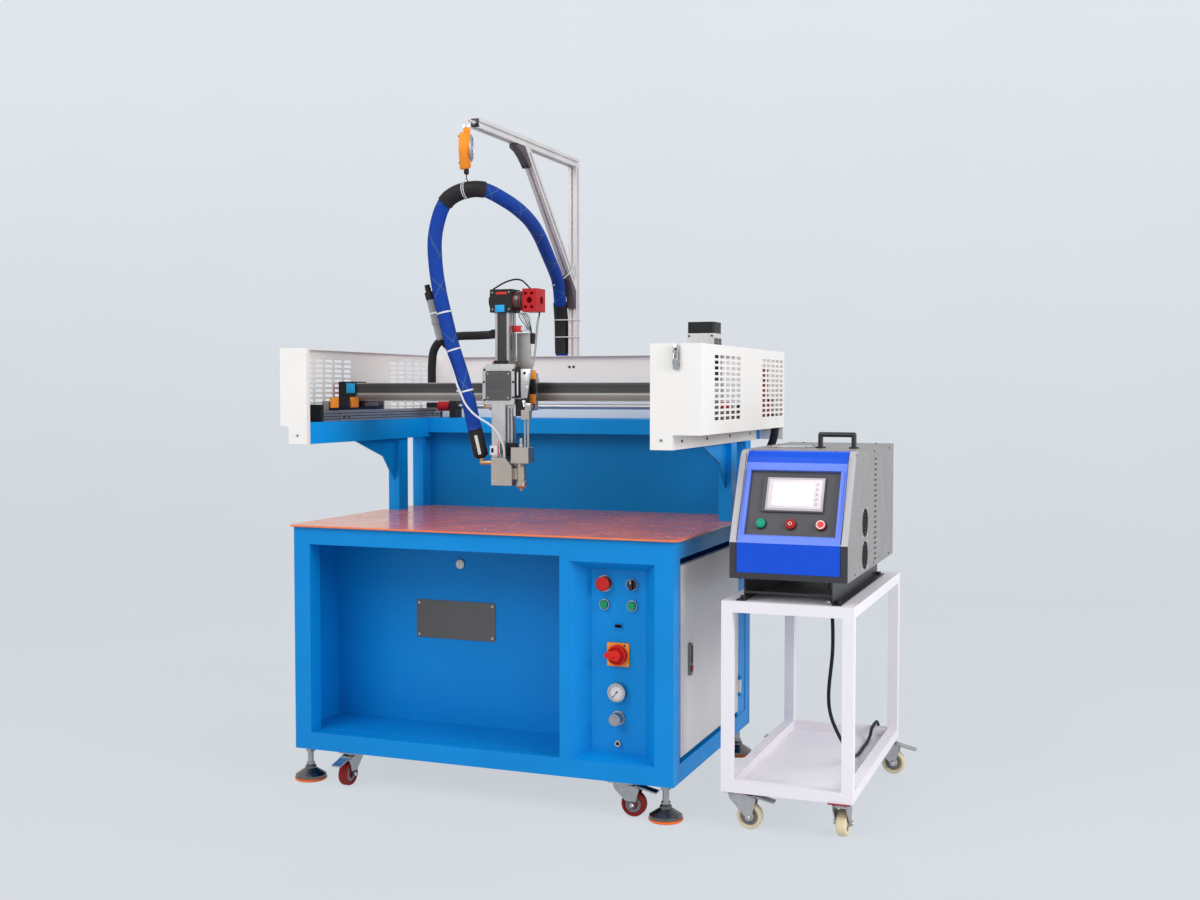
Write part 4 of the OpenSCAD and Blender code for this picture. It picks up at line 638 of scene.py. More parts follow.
class MakeStage(bpy.types.Operator):
    """Camera, pale backdrop, soft lamps and sky"""

    bl_idname = "glue_machine.stage"
    bl_label = "Camera and studio"

    def execute(self, context):
        scene, light = context.scene, context.scene.studio_light
        camera = bpy.data.objects.new("Camera", bpy.data.cameras.new("Camera"))
        camera.data.lens, camera.data.sensor_width = 41.39, 36
        camera.data.sensor_fit = "HORIZONTAL"
        camera.data.clip_end = 60
        camera.location = at(2344, -3529, 1180)
        camera.rotation_euler = (math.radians(90 - 2.47), 0, math.radians(21.04))
        scene.collection.objects.link(camera)
        scene.camera = camera

        # Floor that bends up into the wall behind the machine
        front, wall, bend, top, half = -9.0, 4.0, 2.5, 9.0, 12
        profile = [(front, 0.0), (wall, 0.0)]
        profile += [(wall + bend * math.sin(a), bend - bend * math.cos(a))
                    for a in map(math.radians, range(6, 91, 6))]
        profile.append((wall + bend, top))
        bm = bmesh.new()
        line = [bm.verts.new((-half, y, z - 0.0005)) for y, z in profile]
        edges = [bm.edges.new(pair) for pair in zip(line, line[1:])]
        moved = bmesh.ops.extrude_edge_only(bm, edges=edges)["geom"]
        bmesh.ops.translate(bm, vec=(2 * half, 0, 0),
                            verts=[g for g in moved if isinstance(g, bmesh.types.BMVert)])
        bmesh.ops.recalc_face_normals(bm, faces=bm.faces)
        if sum(f.normal.z for f in bm.faces) < 0:
            bmesh.ops.reverse_faces(bm, faces=bm.faces)

        # Paper that glows a little where the camera sees it, so its shade stays even
        paper = bpy.data.materials.new("backdrop_paper")
        paper.use_nodes = True
        tree = paper.node_tree
        shader = tree.nodes["Principled BSDF"]
        # Painted shade: the paper's colour is darker on the floor and lighter up the wall
        rise = wire(tree, "SeparateXYZ", {0: place(tree)}).outputs[2]
        tint = shaded(tree, tuple(light.backdrop), sums(tree, "MULTIPLY", spread(
            tree, rise, 0.93, 1.09, 0.0, 4.0), spread(tree, cloud(tree, place(tree), 1.2, 2),
                                                      0.995, 1.005)))
        tree.links.new(tint, shader.inputs["Base Color"])
        shader.inputs["Roughness"].default_value = 0.95
        shader.inputs["Specular IOR Level"].default_value = 0.0
        seen = wire(tree, "LightPath").outputs
        rays = sums(tree, "MAXIMUM", seen["Is Camera Ray"], sums(
            tree, "MAXIMUM", seen["Is Glossy Ray"], seen["Is Transmission Ray"]))
        glow = wire(tree, "Emission", {"Color": tint})
        mixed = wire(tree, "MixShader", {0: sums(tree, "MULTIPLY", rays, 0.85),
                                         1: shader.outputs[0], 2: glow.outputs[0]})
        tree.links.new(mixed.outputs[0], tree.nodes["Material Output"].inputs["Surface"])
        mesh = bpy.data.meshes.new("backdrop")
        bm.to_mesh(mesh)
        bm.free()
        mesh.materials.append(paper)
        mesh.shade_smooth()
        backdrop = bpy.data.objects.new("backdrop", mesh)
        scene.collection.objects.link(backdrop)

        for name, power, size, spot, aim in (
                ("Key lamp", light.key, 3.2, (-1.7, -3.8, 4.0), (0, 0, 0.9)),
                ("Side lamp", light.side, 2.6, (4.6, -1.4, 2.6), (0, 0, 0.8))):
            lamp = bpy.data.objects.new(name, bpy.data.lights.new(name, "AREA"))
            lamp.data.energy, lamp.data.size, lamp.data.shape = power, size, "DISK"
            lamp.location = spot
            lamp.rotation_euler = (Vector(aim) - Vector(spot)).to_track_quat("-Z", "Y").to_euler()
            scene.collection.objects.link(lamp)
        world = bpy.data.worlds.new("Sky")
        world.use_nodes = True
        scene.world = world
        sky = world.node_tree.nodes["Background"]
        sky.inputs["Color"].default_value = (1.0, 0.985, 0.97, 1)
        sky.inputs["Strength"].default_value = light.sky
        scene.view_settings.view_transform = "Standard"
        return {"FINISHED"}


class MakeHoses(bpy.types.Operator):
    """Heated hose, link hose, cable duct and power cord"""

    bl_idname = "glue_machine.hoses"
    bl_label = "Hoses and cords"

    def execute(self, context):
        sizes, colours = context.scene.machine_sizes, context.scene.machine_colours
        rubber, = stock("black_sleeve")
        cord_skin = finish("cord_skin", plastic((0.012, 0.012, 0.013), 0.5, 900), edge=0)

        def run(name, line, material, diameter, stands_for,
                sides=28):
            mesh = swept(line, diameter, sides)
            mesh.name = name
            mesh.materials.clear()
            mesh.materials.append(material)
            piece = place_object(name, mesh, 50)
            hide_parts(*stands_for)
            return piece

        def blue_run(name, line, stands_for):
            length = length_of(line)
            sleeve = finish(f"hose_weave_{int(length * 1000)}", weave(
                tuple(colours.hose), length / 0.006, 26), bump=0.35, edge=0)
            return run(name, line, sleeve, sizes.hose, [stands_for])

        # The drop is cut in three, where it changes from one moving body to the next
        route, thirds = drop_parts()
        for name, (first, last, low, high) in zip(("hose_lower", "hose_middle", "hose_upper"),
                                                  thirds):
            piece = blue_run(name, route[first:last + 1], "hose_drop")
            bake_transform(piece)
        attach(blue_run("hose_supply_sleeve", route[SPLIT * STEP:], "hose_supply"), "bench")

        piece = run("hose_to_melter", smooth_path(LINK), rubber, sizes.link,
                    ["hose_link"])
        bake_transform(piece)
        piece = run("duct_to_head", smooth_path(DUCT), rubber, sizes.duct,
                    ["cable_chain"])
        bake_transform(piece)

        # Moulded plug with a tapered, ribbed relief and two flat pins
        bm = bmesh.new()
        back = COIL[0] + 38
        ribs = [(5.2, 0)]
        for k in range(5):
            ribs += [(6.2 + k * 0.7, 1 + k * 4), (6.4 + k * 0.7, 3.4 + k * 4),
                     (5.6 + k * 0.7, 3.8 + k * 4), (5.7 + k * 0.7, 5 + k * 4)]
        add_turned(bm, (back, COIL[1], 41.5), RIGHT, ribs + [(0, 21)], 24)
        add_block(bm, (back + 17, COIL[1] - 13.8, 30.7), (back + 33.8, COIL[1] + 13.8, 52.3), 4, 4)
        for y in (-7, 5):
            add_block(bm, (back + 33, COIL[1] + y, 36.2), (back + 51.8, COIL[1] + y + 1.8, 43.8),
                      0.4, 2, 1)
        plug = put("moulded_plug", bm, "trolley", "black_plastic",
                   finish("plug_rubber", plastic((0.015, 0.015, 0.016), 0.5, 700)),
                   finish("plug_pins", metal((0.75, 0.62, 0.35), 0.3, (60, 60, 60))))
        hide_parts("power_plug")
        line = smooth_path(CORD + coil_points(sizes.turns) + [
            (1552, 911, 27), (1565, 916, 31), (1575, 930, 36), (1581, 945, 40),
            (1588, 956, 41.5), (back, COIL[1], 41.5)], 5)
        piece = run("power_lead", line, cord_skin, sizes.cord,
                    ["power_cord", "power_cord_coil"], 16)
        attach(piece, "trolley")
        return {"FINISHED"}


class MakeHoseFittings(bpy.types.Operator):
    """Ties, sleeves, the connector and the thin tube on the heated hose"""

    bl_idname = "glue_machine.hose_fittings"
    bl_label = "Hose ties, sleeves and connector"

    def execute(self, context):
        sizes = context.scene.machine_sizes
        radius, tie = sizes.hose * 500, sizes.tie * 1000
        sleeve = sizes.hose + 0.006
        white, rubber = stock("tie_white", "black_sleeve")
        grey = finish("connector_grey", plastic((0.26, 0.26, 0.27), 0.5))
        route, thirds = drop_parts()

        def ring(bm, index, inner, width, thick=1.3):
            along = (route[index + 1] - route[index - 1]).normalized()
            add_ring(bm, route[index] - along * width / 2000, along, inner, width, thick)

        def moved(piece, third):
            first, last, low, high = third
            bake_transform(piece)

        # Ties on the drop with their heads; the third one also holds the connector
        lower, middle, upper = bmesh.new(), bmesh.new(), bmesh.new()
        for bm, index in ((lower, 19), (lower, 31), (middle, 42)):
            ring(bm, index, radius - 0.3, tie)
            x, y, z = machine_mm(route[index] - Vector((radius + 2.2, 6, 0)) / 1000)
            add_tube(bm, [(x, y - 3.5, z), (x, y + 3.5, z)], 8, 0, 10, 1)
        add_tube(lower, [(446, 118, 1303), (460, 117, 1277), (474, 120, 1239), (486, 124, 1199),
                         (498, 126, 1170), (510, 130, 1142), (531, 133, 1116), (556, 134, 1098),
                         (583, 135, 1083), (604, 135, 1066), (619, 135, 1046), (628, 136, 1026),
                         (632, 138, 1008), (630, 146, 985)], 6.5)
        moved(put("hose_ties_lower", lower, None, "melter_grey", white), thirds[0])

        # Connector: an eight-sided grey half below the cut and a black plug above it
        top, foot = at(386, 129, 1493), at(427, 138, 1330)
        along = top - foot
        span = along.length * 1000
        cut = (1449 - 1330) / (1493 - 1330) * span
        add_turned(middle, foot, along, [(0, 0), (9, 0), (12, 3), (12.6, 8), (12.6, 48), (14.6, 50),
                                         (14.6, 62), (12.6, 64), (12.6, cut), (0, cut)], 8, 1)
        add_turned(middle, foot + along * (cut / span), along, [
            (0, -0.5), (10, -0.5), (13.4, 1), (13.4, 22), (9, 26), (8, 26), (8, 31), (9, 31),
            (9, 36), (8, 36), (8, span - cut), (0, span - cut)], 24, 2)
        add_tube(middle, [(427.2, 138, 1331), (431, 146, 1316), (438, 164, 1300), (446, 176, 1280)],
                 10, 2)
        add_ring(middle, foot + along * 0.47, along, 12.4, tie, 1.4, 0, 24)
        moved(put("hose_connector", middle, None, "melter_grey", white, grey, rubber), thirds[1])

        # Sleeve over the hook with its wire tie
        add_sleeve(upper, route[78:106], sleeve, 1)
        for index in (92, 93):
            ring(upper, index, radius + 2.9, 2.2, 1.2)
        moved(put("sleeve_on_hook", upper, None, "black_hose", white, rubber), thirds[2])

        # Sleeve beside the post, its two ties round the post and the one at the brace's foot
        bm = bmesh.new()
        add_sleeve(bm, route[211:249], sleeve, 1)
        for index, z in ((223, 1425), (235, 1366)):
            x, y, _ = machine_mm(route[index])
            loop = [(*p, z) for p in arc(25.5, range(-80, -281, -20), x, y)]
            add_tube(bm, loop + [(543.5, 958.5, z), (543.5, 925.5, z), loop[0]], 3.6, 0, 8, 2)
        add_tube(bm, [(485, 846, 1540), (491, 828, 1537), (508, 817, 1540), (526, 832, 1556),
                      (545, 862, 1584), (545, 888, 1606), (530, 902, 1622), (508, 898, 1612),
                      (492, 872, 1570), (485, 846, 1540)], 3.2, 0, 8)
        put("hose_on_post", bm, "bench", "black_hose", white, rubber)

        # Sleeve and label strip on the gun's end of the hose
        bm = bmesh.new()
        lean = math.radians(14)
        axis = Vector((-math.sin(lean), 0, math.cos(lean)))
        low = at(548, 167.5, 967)
        add_turned(bm, low + axis * 0.012, axis, [(0, 0), (11, 0), (20.3, 8), (22, 12), (22, 84),
                                                  (21.6, 86), (22.4, 98), (0, 98)])
        join(bm, brick((0.009, 0.0012, 0.058), 0.4), Matrix.Translation(low + axis * 0.052)
             @ spun("Y", -14) @ spun("Z", 20) @ Matrix.Translation((0, -0.0222, 0)), 1)
        put("gun_sleeve", bm, "head", "black_hose", rubber,
            finish("label_paper", plastic((0.60, 0.59, 0.57), 0.6, 400)))
        return {"FINISHED"}


class MakeStandFittings(bpy.types.Operator):
    """Corner brackets, screws and end cap of the hose stand, and the balancer"""

    bl_idname = "glue_machine.stand"
    bl_label = "Hose stand and balancer"

    def execute(self, context):
        dark, steel, black = stock("dark_steel", "bright_steel", "black_moulding")
        cast = finish("cast_bracket", metal((0.11, 0.095, 0.105), 0.5, (300, 300, 300), 0.4))
        side = spun("Y", 90) @ spun("Z", 90)

        # Cast knees at both ends of the brace, the boom's end cap and the hook's pin
        bm = bmesh.new()
        knee = [(0, 0), (59.5, 0), (112, -52.5), (100, -64), (84, -52), (60, -35), (32, -21),
                (0, -13)]
        add_plate(bm, knee, stood(513, 438, 1952.8, side), 28, 1.2)
        add_plate(bm, [(b, a - 59.5) for a, b in knee], stood(513, 926.8, 1523.6, side), 28, 1.2)
        for x in (519, 535):
            for y, z, along in ((447, 1943.3, (0, -0.25, -1)), (530, 1897, (0, -1, -1)),
                                (917.3, 1475, (0, -1, -0.2)), (874, 1556, (0, -1, -1))):
                add_screws(bm, [(x, y, z)], along, 4.4, 3.4, 1)
        add_block(bm, (514, 166.6, 1955), (540, 169.2, 1981), 2, 3, 1)
        add_turned(bm, (527, 166.7, 1968), OUT, disc(5.5, 4), 6, 3)
        for x in (519, 535):
            add_turned(bm, (x, 115, 1948), (0, -1, 0.3), [(0, 0), (5, 0), (6, 2), (5, 4), (0, 4)],
                       20, 3)
        add_rod(bm, (515, 113.5, 1948), (539, 113.5, 1948), 2.6, 0.5, 16, 3)
        put("stand_fittings", bm, "bench", "aluminium", cast, dark, black, steel)

        # Balancer: teardrop housing, cover and disc, turned a little about the hook
        bm = bmesh.new()
        outline = arc(44, range(-25, 206, 7)) + arc(12, range(205, 336, 13), 0.0, -52)
        add_plate(bm, outline, stood(505.5, 115, 1887, side), 27, 6)
        add_plate(bm, [(y * 0.9, z * 0.92) for y, z in outline], stood(530, 115, 1887, side), 8, 3)
        add_turned(bm, (536, 115, 1885), RIGHT, [(0, 0), (40, 0), (40, 2), (37, 6), (33, 8),
                                                 (32, 6.5), (12, 6.5), (10, 9), (0, 9)], 56, 1)
        add_screws(bm, [(542.3, *p) for p in arc(26, range(30, 331, 60), 115, 1885)], RIGHT,
                   2.6, 1.6, 2)
        add_screws(bm, ((505.6, 90, 1915), (505.6, 141, 1913), (505.6, 107, 1842),
                        (505.6, 123, 1842)), LEFT, 3, 2, 2)
        add_block(bm, (517, 106, 1924), (537, 124, 1944), 3, 3)
        bmesh.ops.rotate(bm, cent=at(527, 115, 0), matrix=spun("Z", 22).to_3x3(), verts=bm.verts)
        add_turned(bm, (525, 115, 1825), (0, 0, -1), [(0, -2), (7, -2), (7.5, 2), (7.5, 12),
                                                     (5, 16), (0, 16)], 24, 3)
        add_tube(bm, [(525, 115, 1784), (525, 115, 1797), (525, 115, 1812)], 3.6, 2, 10, 3)
        add_ring(bm, (521.5, 115, 1789), RIGHT, 3.4, 7, 2.6, 1, 24)
        orange = plastic(tuple(context.scene.machine_colours.orange), 0.35, 500)
        piece = put("teardrop_balancer", bm, "bench", "orange_plastic",
                    finish("balancer_shell", orange),
                    finish("balancer_disc", metal((0.42, 0.45, 0.50), 0.42, (60, 60, 60))), dark,
                    black)
        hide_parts("spring_balancer")
        return {"FINISHED"}


class MakeHeadFittings(bpy.types.Operator):
    """Screws, tags, sensors, cables and guides of the dispensing head"""

    bl_idname = "glue_machine.head"
    bl_label = "Dispensing head"

    def execute(self, context):
        dark, steel, black, white, orange, red, cyan = stock(
            "dark_steel", "bright_steel", "black_moulding", "tie_white", "sensor_orange",
            "tag_red", "tag_cyan")
        green = finish("wire_green", plastic((0.02, 0.16, 0.10), 0.5, 900), edge=0)

        # On the head plate: its screws, the bare plate's screws, the guide and its bracket
        bm = bmesh.new()
        add_screws(bm, [(x, 169.6, z) for x, z in (
            (555, 1241), (648, 1240), (552.5, 1205), (648, 1205), (555, 1152), (648, 1160))],
            OUT, 3.6, 2.2, 0)
        add_screws(bm, [(x, 166.9, z) for x, z in (
            (567, 1229), (633, 1229), (567, 1159), (633, 1159))], OUT, 2.4, 1.2, 2)
        add_screws(bm, ((588, 169.6, 1004), (588, 169.6, 1018)), OUT, 2.6, 1.4, 2)
        add_block(bm, (653.5, 170.5, 1158), (668, 184, 1250), 1, 2, 1)
        add_block(bm, (659.5, 169.4, 1166), (663.5, 171, 1234), 0.5, 2, 4)
        for x in (626.5, 637.5):
            add_rod(bm, (x, 182, 990), (x, 182, 1138), 4.2, 0.5, 20, 2)
        add_block(bm, (624, 173, 984), (655, 190, 1026), 1.5, 2, 1)
        for low, high in ((546, 572), (622, 645)):
            add_block(bm, (low, 179.8, 1127), (high, 193, 1139.5), 1.5, 2, 5)
        add_plate(bm, [(0, 0), (33, 0), (33, -6), (21, -86), (2, -86), (0, -60)],
                  stood(670, 177, 1243, spun("X", 90)), 4, 0.8, 3)
        add_turned(bm, (683, 173.1, 1231), OUT, disc(4.4, 0.4), 24, 1)
        add_turned(bm, (692, 173, 1190), OUT, [(0, 0), (4.2, 0), (4.2, 3), (3, 4), (0, 4)], 20, 4)

        # Valve and its fitting, and the screws of valve block and heater block
        add_block(bm, (688, 160, 1120), (709, 176, 1143), 2, 2, 3)
        add_turned(bm, (682, 169, 1150), (0.2, -0.3, -1), [(0, 0), (6, 0), (6, 9), (4, 10),
                                                          (4, 20), (0, 20)], 20, 3)
        add_screws(bm, [(674, 167, 1013.2)], UP, 7, 8, 3)
        add_rod(bm, (674, 167, 1020), (674, 167, 1040), 5, 1, 20, 3)
        add_screws(bm, [(683, 152.9, 962)], OUT, 5, 0.5, 1)
        add_screws(bm, [(x, 147.3, z) for x, z in (
            (657, 1006), (699, 1006), (657, 974), (699, 974))], OUT, 2.6, 1.6, 2)
        add_screws(bm, [(x, 143.4, z) for x, z in ((596, 976), (640, 912), (596, 912))], OUT,
                   2.8, 1.6, 2)

        # Plug of the heater with its three wires, and the pad under the saddle
        add_block(bm, (585, 139, 990), (610, 160, 1018), 2, 2, 4)
        add_block(bm, (590, 137.8, 998), (598, 139.4, 1011), 0.6, 2, 1)
        for k, tone in ((0, 6), (4, 4), (8, 7)):
            add_tube(bm, [(612 + k, 150, 985), (611 + k, 142, 1004), (612 + k * 0.6, 146, 1022),
                          (606 + k, 158, 1030), (602 + k, 167.5, 1018)], 3, tone, 8, 4)
        add_block(bm, (578, 181, 1257.6), (622, 194.4, 1269), 3, 2, 1)
        put("head_fittings", bm, "head", "aluminium", dark, black, steel, steel, white, orange,
            red, green)

        # On the cross slide: pads of the saddle, end sensors, tags and the motor's cables
        bm = bmesh.new()
        add_block(bm, (537, 254.5, 1232.3), (664, 268.5, 1268), 3, 2, 0)
        for z0, z1, tone in ((1213, 1240, 0), (1169, 1213, 1), (1139, 1169, 0)):
            add_block(bm, (672, 232, z0 + 0.4), (688, 245.3, z1), 1.6, 2, tone)
        add_block(bm, (580.5, 187.9, 1412), (611, 189.8, 1433), 0.8, 2, 2)
        add_block(bm, (583, 188.6, 1464), (618, 189.8, 1471), 0.5, 2, 3)
        add_turned(bm, (563.4, 220.5, 1445.4), LEFT, [(0, 0), (27, 0), (27, 2), (23, 8),
                                                      (12, 10), (0, 10)], 40, 1)
        add_screws(bm, [(x, 189.6, z) for x, z in (
            (572, 1470), (625, 1470), (572, 1420), (625, 1420))], OUT, 2.6, 1.8, 4)
        add_tube(bm, [(571, 205, 1455), (560, 202, 1464), (562, 210, 1478), (574, 215, 1488),
                      (602, 217, 1502), (632, 217, 1509), (654, 216, 1506), (670, 215, 1494),
                      (686, 215, 1478)], 5, 1, 10)
        for z in (1456, 1462):
            add_rod(bm, (556, 201, z + 3), (572, 201, z - 4), 1.6, 0.4, 10, 6)
        add_block(bm, (622.8, 222, 1354), (648, 240, 1373), 2, 2, 3)
        add_block(bm, (648, 224, 1357), (665, 238, 1370), 1.5, 2, 7)
        for k, tone in enumerate((1, 7, 1, 8, 1, 7)):
            add_tube(bm, [(640 + k * 4, 226 + k, 1411), (646 + k * 6, 222 + 2 * k, 1396),
                          (660 + k * 4.5, 224, 1376 + 3 * (k % 2)), (676 + k * 1.4, 229, 1354),
                          (681 + k * 0.8, 230, 1330)], 2.6, tone, 8, 4)
        add_rod(bm, (684, 231, 1318), (684, 231, 1350), 8, 2, 20, 1)
        add_rod(bm, (624, 214, 1300), (624, 214, 1350), 0.8, 0.2, 8, 1)
        put("slide_fittings", bm, "cross_slide", "black_plastic", orange, black, cyan, red, steel,
            dark, steel, white, green)

        # Cable from the motor down to the valve, between slide and head
        bm = bmesh.new()
        down = [(713, 200, 1377), (710, 200, 1348), (706, 200, 1306), (701, 198, 1268),
                (694, 196, 1238)]
        add_tube(bm, [(706, 228, 1412), (716, 206, 1402), *down, (688, 196, 1215),
                      (690, 196, 1194)], 4.6, 0, 12, 8)
        add_tube(bm, [(715.5, 204, 1398), *down, (689, 196, 1220)], 6.6, 1, 12, 8)
        cable = put("valve_cable", bm, None, "black_plastic", black,
                    finish("sheath_grey", plastic((0.30, 0.30, 0.31), 0.4, 900), edge=0))
        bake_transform(cable)
        return {"FINISHED"}


class MakeGantryFittings(bpy.types.Operator):
    """Tags, sensors, brackets, latch, vents, drive and screws of gantry, covers, table and stand"""

    bl_idname = "glue_machine.gantry"
    bl_label = "Gantry, covers and table"

    def execute(self, context):
        dark, steel, black, orange, cyan, red = stock(
            "dark_steel", "bright_steel", "black_moulding", "sensor_orange", "tag_cyan", "tag_red")
        grey = finish("sensor_grey", plastic((0.16, 0.16, 0.18), 0.5, 700))

        # On the X beam: tag and plate of its left end, vents and screws of the motor
        bm = bmesh.new()
        add_block(bm, (24, 264.6, 1172), (54.6, 266.2, 1203), 0.6, 2, 3)
        add_screws(bm, product((2, 48), (266.1,), (1153, 1203)), OUT, 2.6, 1.6, 1)
        add_block(bm, (-6.6, 270, 1152), (-4.8, 330, 1204), 0.8, 2, 4)
        for k in range(5):
            add_block(bm, (1231.5, 271 + k * 15, 1220), (1233.2, 279 + k * 15, 1330), 0.7, 2, 0)
        add_screws(bm, product((1158, 1226), (266,), (1216, 1336)), OUT, 3, 2, 1)

        # Sensors on a thin plate on the left carriage's inner side
        add_block(bm, (60.1, 104, 1120), (62, 432, 1146), 0.5, 2, 1)
        for y0, y1, z1, tone in ((106, 146, 1158, 5), (146, 212, 1158, 0), (222, 264, 1159, 5),
                                 (285, 400, 1146, 0)):
            add_block(bm, (61.9, y0 + 0.3, 1127), (70, y1 - 0.3, z1), 1.5, 2, tone)
        add_block(bm, (69.8, 300, 1130), (70.6, 386, 1143), 0.4, 2, 6)
        add_screws(bm, ((70, 158, 1142), (70, 200, 1142)), RIGHT, 2.4, 1.4, 1)
        put("bridge_fittings", bm, "bridge", "black_plastic", black, dark, black, cyan, red,
            orange, grey)

        # Screws of the axis modules, the Y motor and the covers
        bm = bmesh.new()
        for x, along in ((59.5, RIGHT), (1140.5, LEFT)):
            add_screws(bm, product((x,), (192, 220, 806, 834), (1098,)), along, 3.4, 2.2, 1)
        add_screws(bm, product((1262,), (788, 832), (1103, 1147)), RIGHT, 4, 3, 1)
        add_screws(bm, ((30, -20.1, 1046), (1170, -20.1, 1046)), OUT, 4.4, 2.2, 4)
        for y in (60, 300, 540, 780):
            add_screws(bm, [(1202.3, y, 1042)], RIGHT, 4.4, 2.2, 1)
            add_screws(bm, [(-2.3, y, 1042)], LEFT, 4.4, 2.2, 1)
        add_screws(bm, product((120, 410, 700, 1080), (922.3,), (1060,)), BACK, 4, 2.2, 1)
        add_screws(bm, product((519, 535), (919.9,), (1262,)), OUT, 4.4, 2.4, 1)

        # Toggle latch of the right cover
        add_plate(bm, [(-8, -10), (8, -10), (9, -7), (9, 7), (5, 14), (-5, 14), (-9, 7), (-9, -7)],
                  stood(1213, -26, 1290, spun("X", 90)), 3, 0.8, 4)
        add_screws(bm, [(1213, -28.9, 1290)], OUT, 3.4, 2, 1)
        for top, low in ((1208, 1207), (1218, 1219)):
            add_tube(bm, [(top, -30, 1280), (low, -33, 1262), (low, -31, 1246)], 2.6, 4, 10)
        add_plate(bm, [(-8, -14), (8, -14), (9, 10), (6, 16), (-6, 16), (-9, 10)],
                  stood(1213, -28, 1250, spun("X", 104)), 2.4, 0.8, 4)

        # Screws of the table
        for x, y in ((40, 77), (1160, 77), (40, 316), (1158, 316), (600, 77), (409, 589),
                     (791, 589), (600, 316)):
            add_turned(bm, (x, y, 777), UP, [(0, 0), (4, 0), (3.4, 1), (0, 1.3)], 16, 4)

        # Drive beside the Y motor, behind the rear vents of the right cover
        add_block(bm, (1213, 716, 1098), (1262, 778.6, 1256), 2, 2, 6)
        add_screws(bm, product((1262,), (724, 771), (1110, 1244)), RIGHT, 3, 2, 1)
        put("bench_fittings", bm, "bench", "motor_silver", black, dark, black, orange, steel,
            black, finish("drive_red", coat((0.36, 0.03, 0.025), 0.4)))
        return {"FINISHED"}


class MakeControls(bpy.types.Operator):
    """Faces, marks and screws of the bench's control panel and its door, and a cam lock"""

    bl_idname = "glue_machine.controls"
    bl_label = "Controls of the bench"

    def execute(self, context):
        steel, black = stock("bright_steel", "black_moulding")
        white = finish("dial_white", plastic((0.62, 0.60, 0.64), 0.4, 300), edge=0)

        # Pressure gauge: bezel, face, marks and pointer
        bm = bmesh.new()
        add_ring(bm, (1020, 40.4, 340), OUT, 21.6, 3, 4.6, 1, 56)
        add_turned(bm, (1020, 42.2, 340), OUT, disc(21.8, 0.8), 56, 2)
        for k in range(11):
            join(bm, brick((0.0036 if k % 5 else 0.005, 0.0004, 0.0009)),
                 stood(1020, 41.3, 340, spun("Y", 45 - 27 * k))
                 @ Matrix.Translation((0.0175, 0, 0)))
        add_rod(bm, (1022.5, 40.9, 344), (1008, 40.9, 324), 0.7, 0.3, 10, 0)
        add_turned(bm, (1020, 41.4, 340), OUT, [(0, 0), (2.6, 0), (2.2, 1.6), (0, 1.6)], 20, 0)

        # Screws of the switch plate, bezels of buttons, regulator and air port, and the cam lock
        add_screws(bm, product((993.5, 1046.5), (53,), (417.5, 470.5)), OUT, 2.4, 1.2, 1)
        add_ring(bm, (979, 57.9, 642), OUT, 20.8, 4.2, 2.2, 1, 48)
        for x in (979, 1061):
            add_ring(bm, (x, 52, 583), OUT, 11.7, 1.6, 3, 1, 48)
        add_ring(bm, (1061, 52, 642), OUT, 14.7, 1.6, 1.4, 1, 48)
        add_ring(bm, (1020, 53.6, 266), OUT, 17.4, 1.4, 2.4, 1, 48)
        add_ring(bm, (1020, 50, 194), OUT, 5.2, 1.2, 3.4, 1, 32)
        add_turned(bm, (437, 236.1, 649), OUT, [(0, 0), (10, 0), (9.4, 1.6), (4, 2.4), (0, 2.4)],
                   40, 1)
        add_block(bm, (436.2, 233.4, 644.5), (437.8, 234, 653.5), 0.2, 1, 0)
        add_turned(bm, (1039, 53.1, 470), OUT, disc(3, 0.5), 20, 0)
        for x in (979, 1061):
            add_ring(bm, (x, 50.5, 583), OUT, 11.4, 0.5, 1.6, 0, 48)
        put("panel_details", bm, "bench", "steel", black, steel, white)

        # Rotary main switch: a dished dial with its grip turned to the left
        bm = bmesh.new()
        add_turned(bm, (1020, 52.6, 444), OUT, [(0, 0), (27, 0), (28.5, 2), (28.5, 11), (26.5, 14),
                                               (23, 14), (21, 8.5), (0, 8.5)], 72)
        add_plate(bm, arc(16, range(-125, 126, 10)) + [(-24, 11), (-33, 5), (-34, -2), (-31, -6)],
                  stood(1020, 44.5, 444, spun("X", 90)), 18, 3)
        # Black disc on the grip's face: painted shade of its hole
        add_rod(bm, (1016, 26.6, 440), (1016, 26, 440), 2.2, 0.1, 20, 1)
        dial = put("switch_dial", bm, "main_switch_knob", "red_plastic",
                   finish("switch_red", plastic((0.62, 0.018, 0.012), 0.35)), black)
        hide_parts("main_switch")

        bm = bmesh.new()
        add_block(bm, (1060, 37.4, 645), (1062, 38.4, 655.6), 0.3)
        put("selector_pointer", bm, "selector", "black_plastic",
            finish("pointer_white", plastic((0.75, 0.75, 0.75), 0.5, 900), edge=0))

        # Button ring, grip and screws of the door's handle strip
        bm = bmesh.new()
        add_ring(bm, (1210.4, 135, 404), RIGHT, 7.6, 1.6, 1.8, 0, 32)
        add_block(bm, (1210.2, 130.5, 418), (1211.8, 139.5, 470), 2.4, 3, 0)
        add_screws(bm, ((1210.3, 135, 392), (1210.3, 135, 468)), RIGHT, 2.6, 1.4, 1)
        put("door_details", bm, "door", "black_plastic", black, steel)
        return {"FINISHED"}


SLOPE = math.radians(24.4)
FACE_UP = Vector((0, -math.cos(SLOPE), math.sin(SLOPE)))


def on_slope(x, depth, up):
    """Place on the melter's sloping face: across from its middle, in from it and up it."""
    return at(1507.5 + x, 20 + up * math.sin(SLOPE) + depth * math.cos(SLOPE),
              776 + up * math.cos(SLOPE) - depth * math.sin(SLOPE))


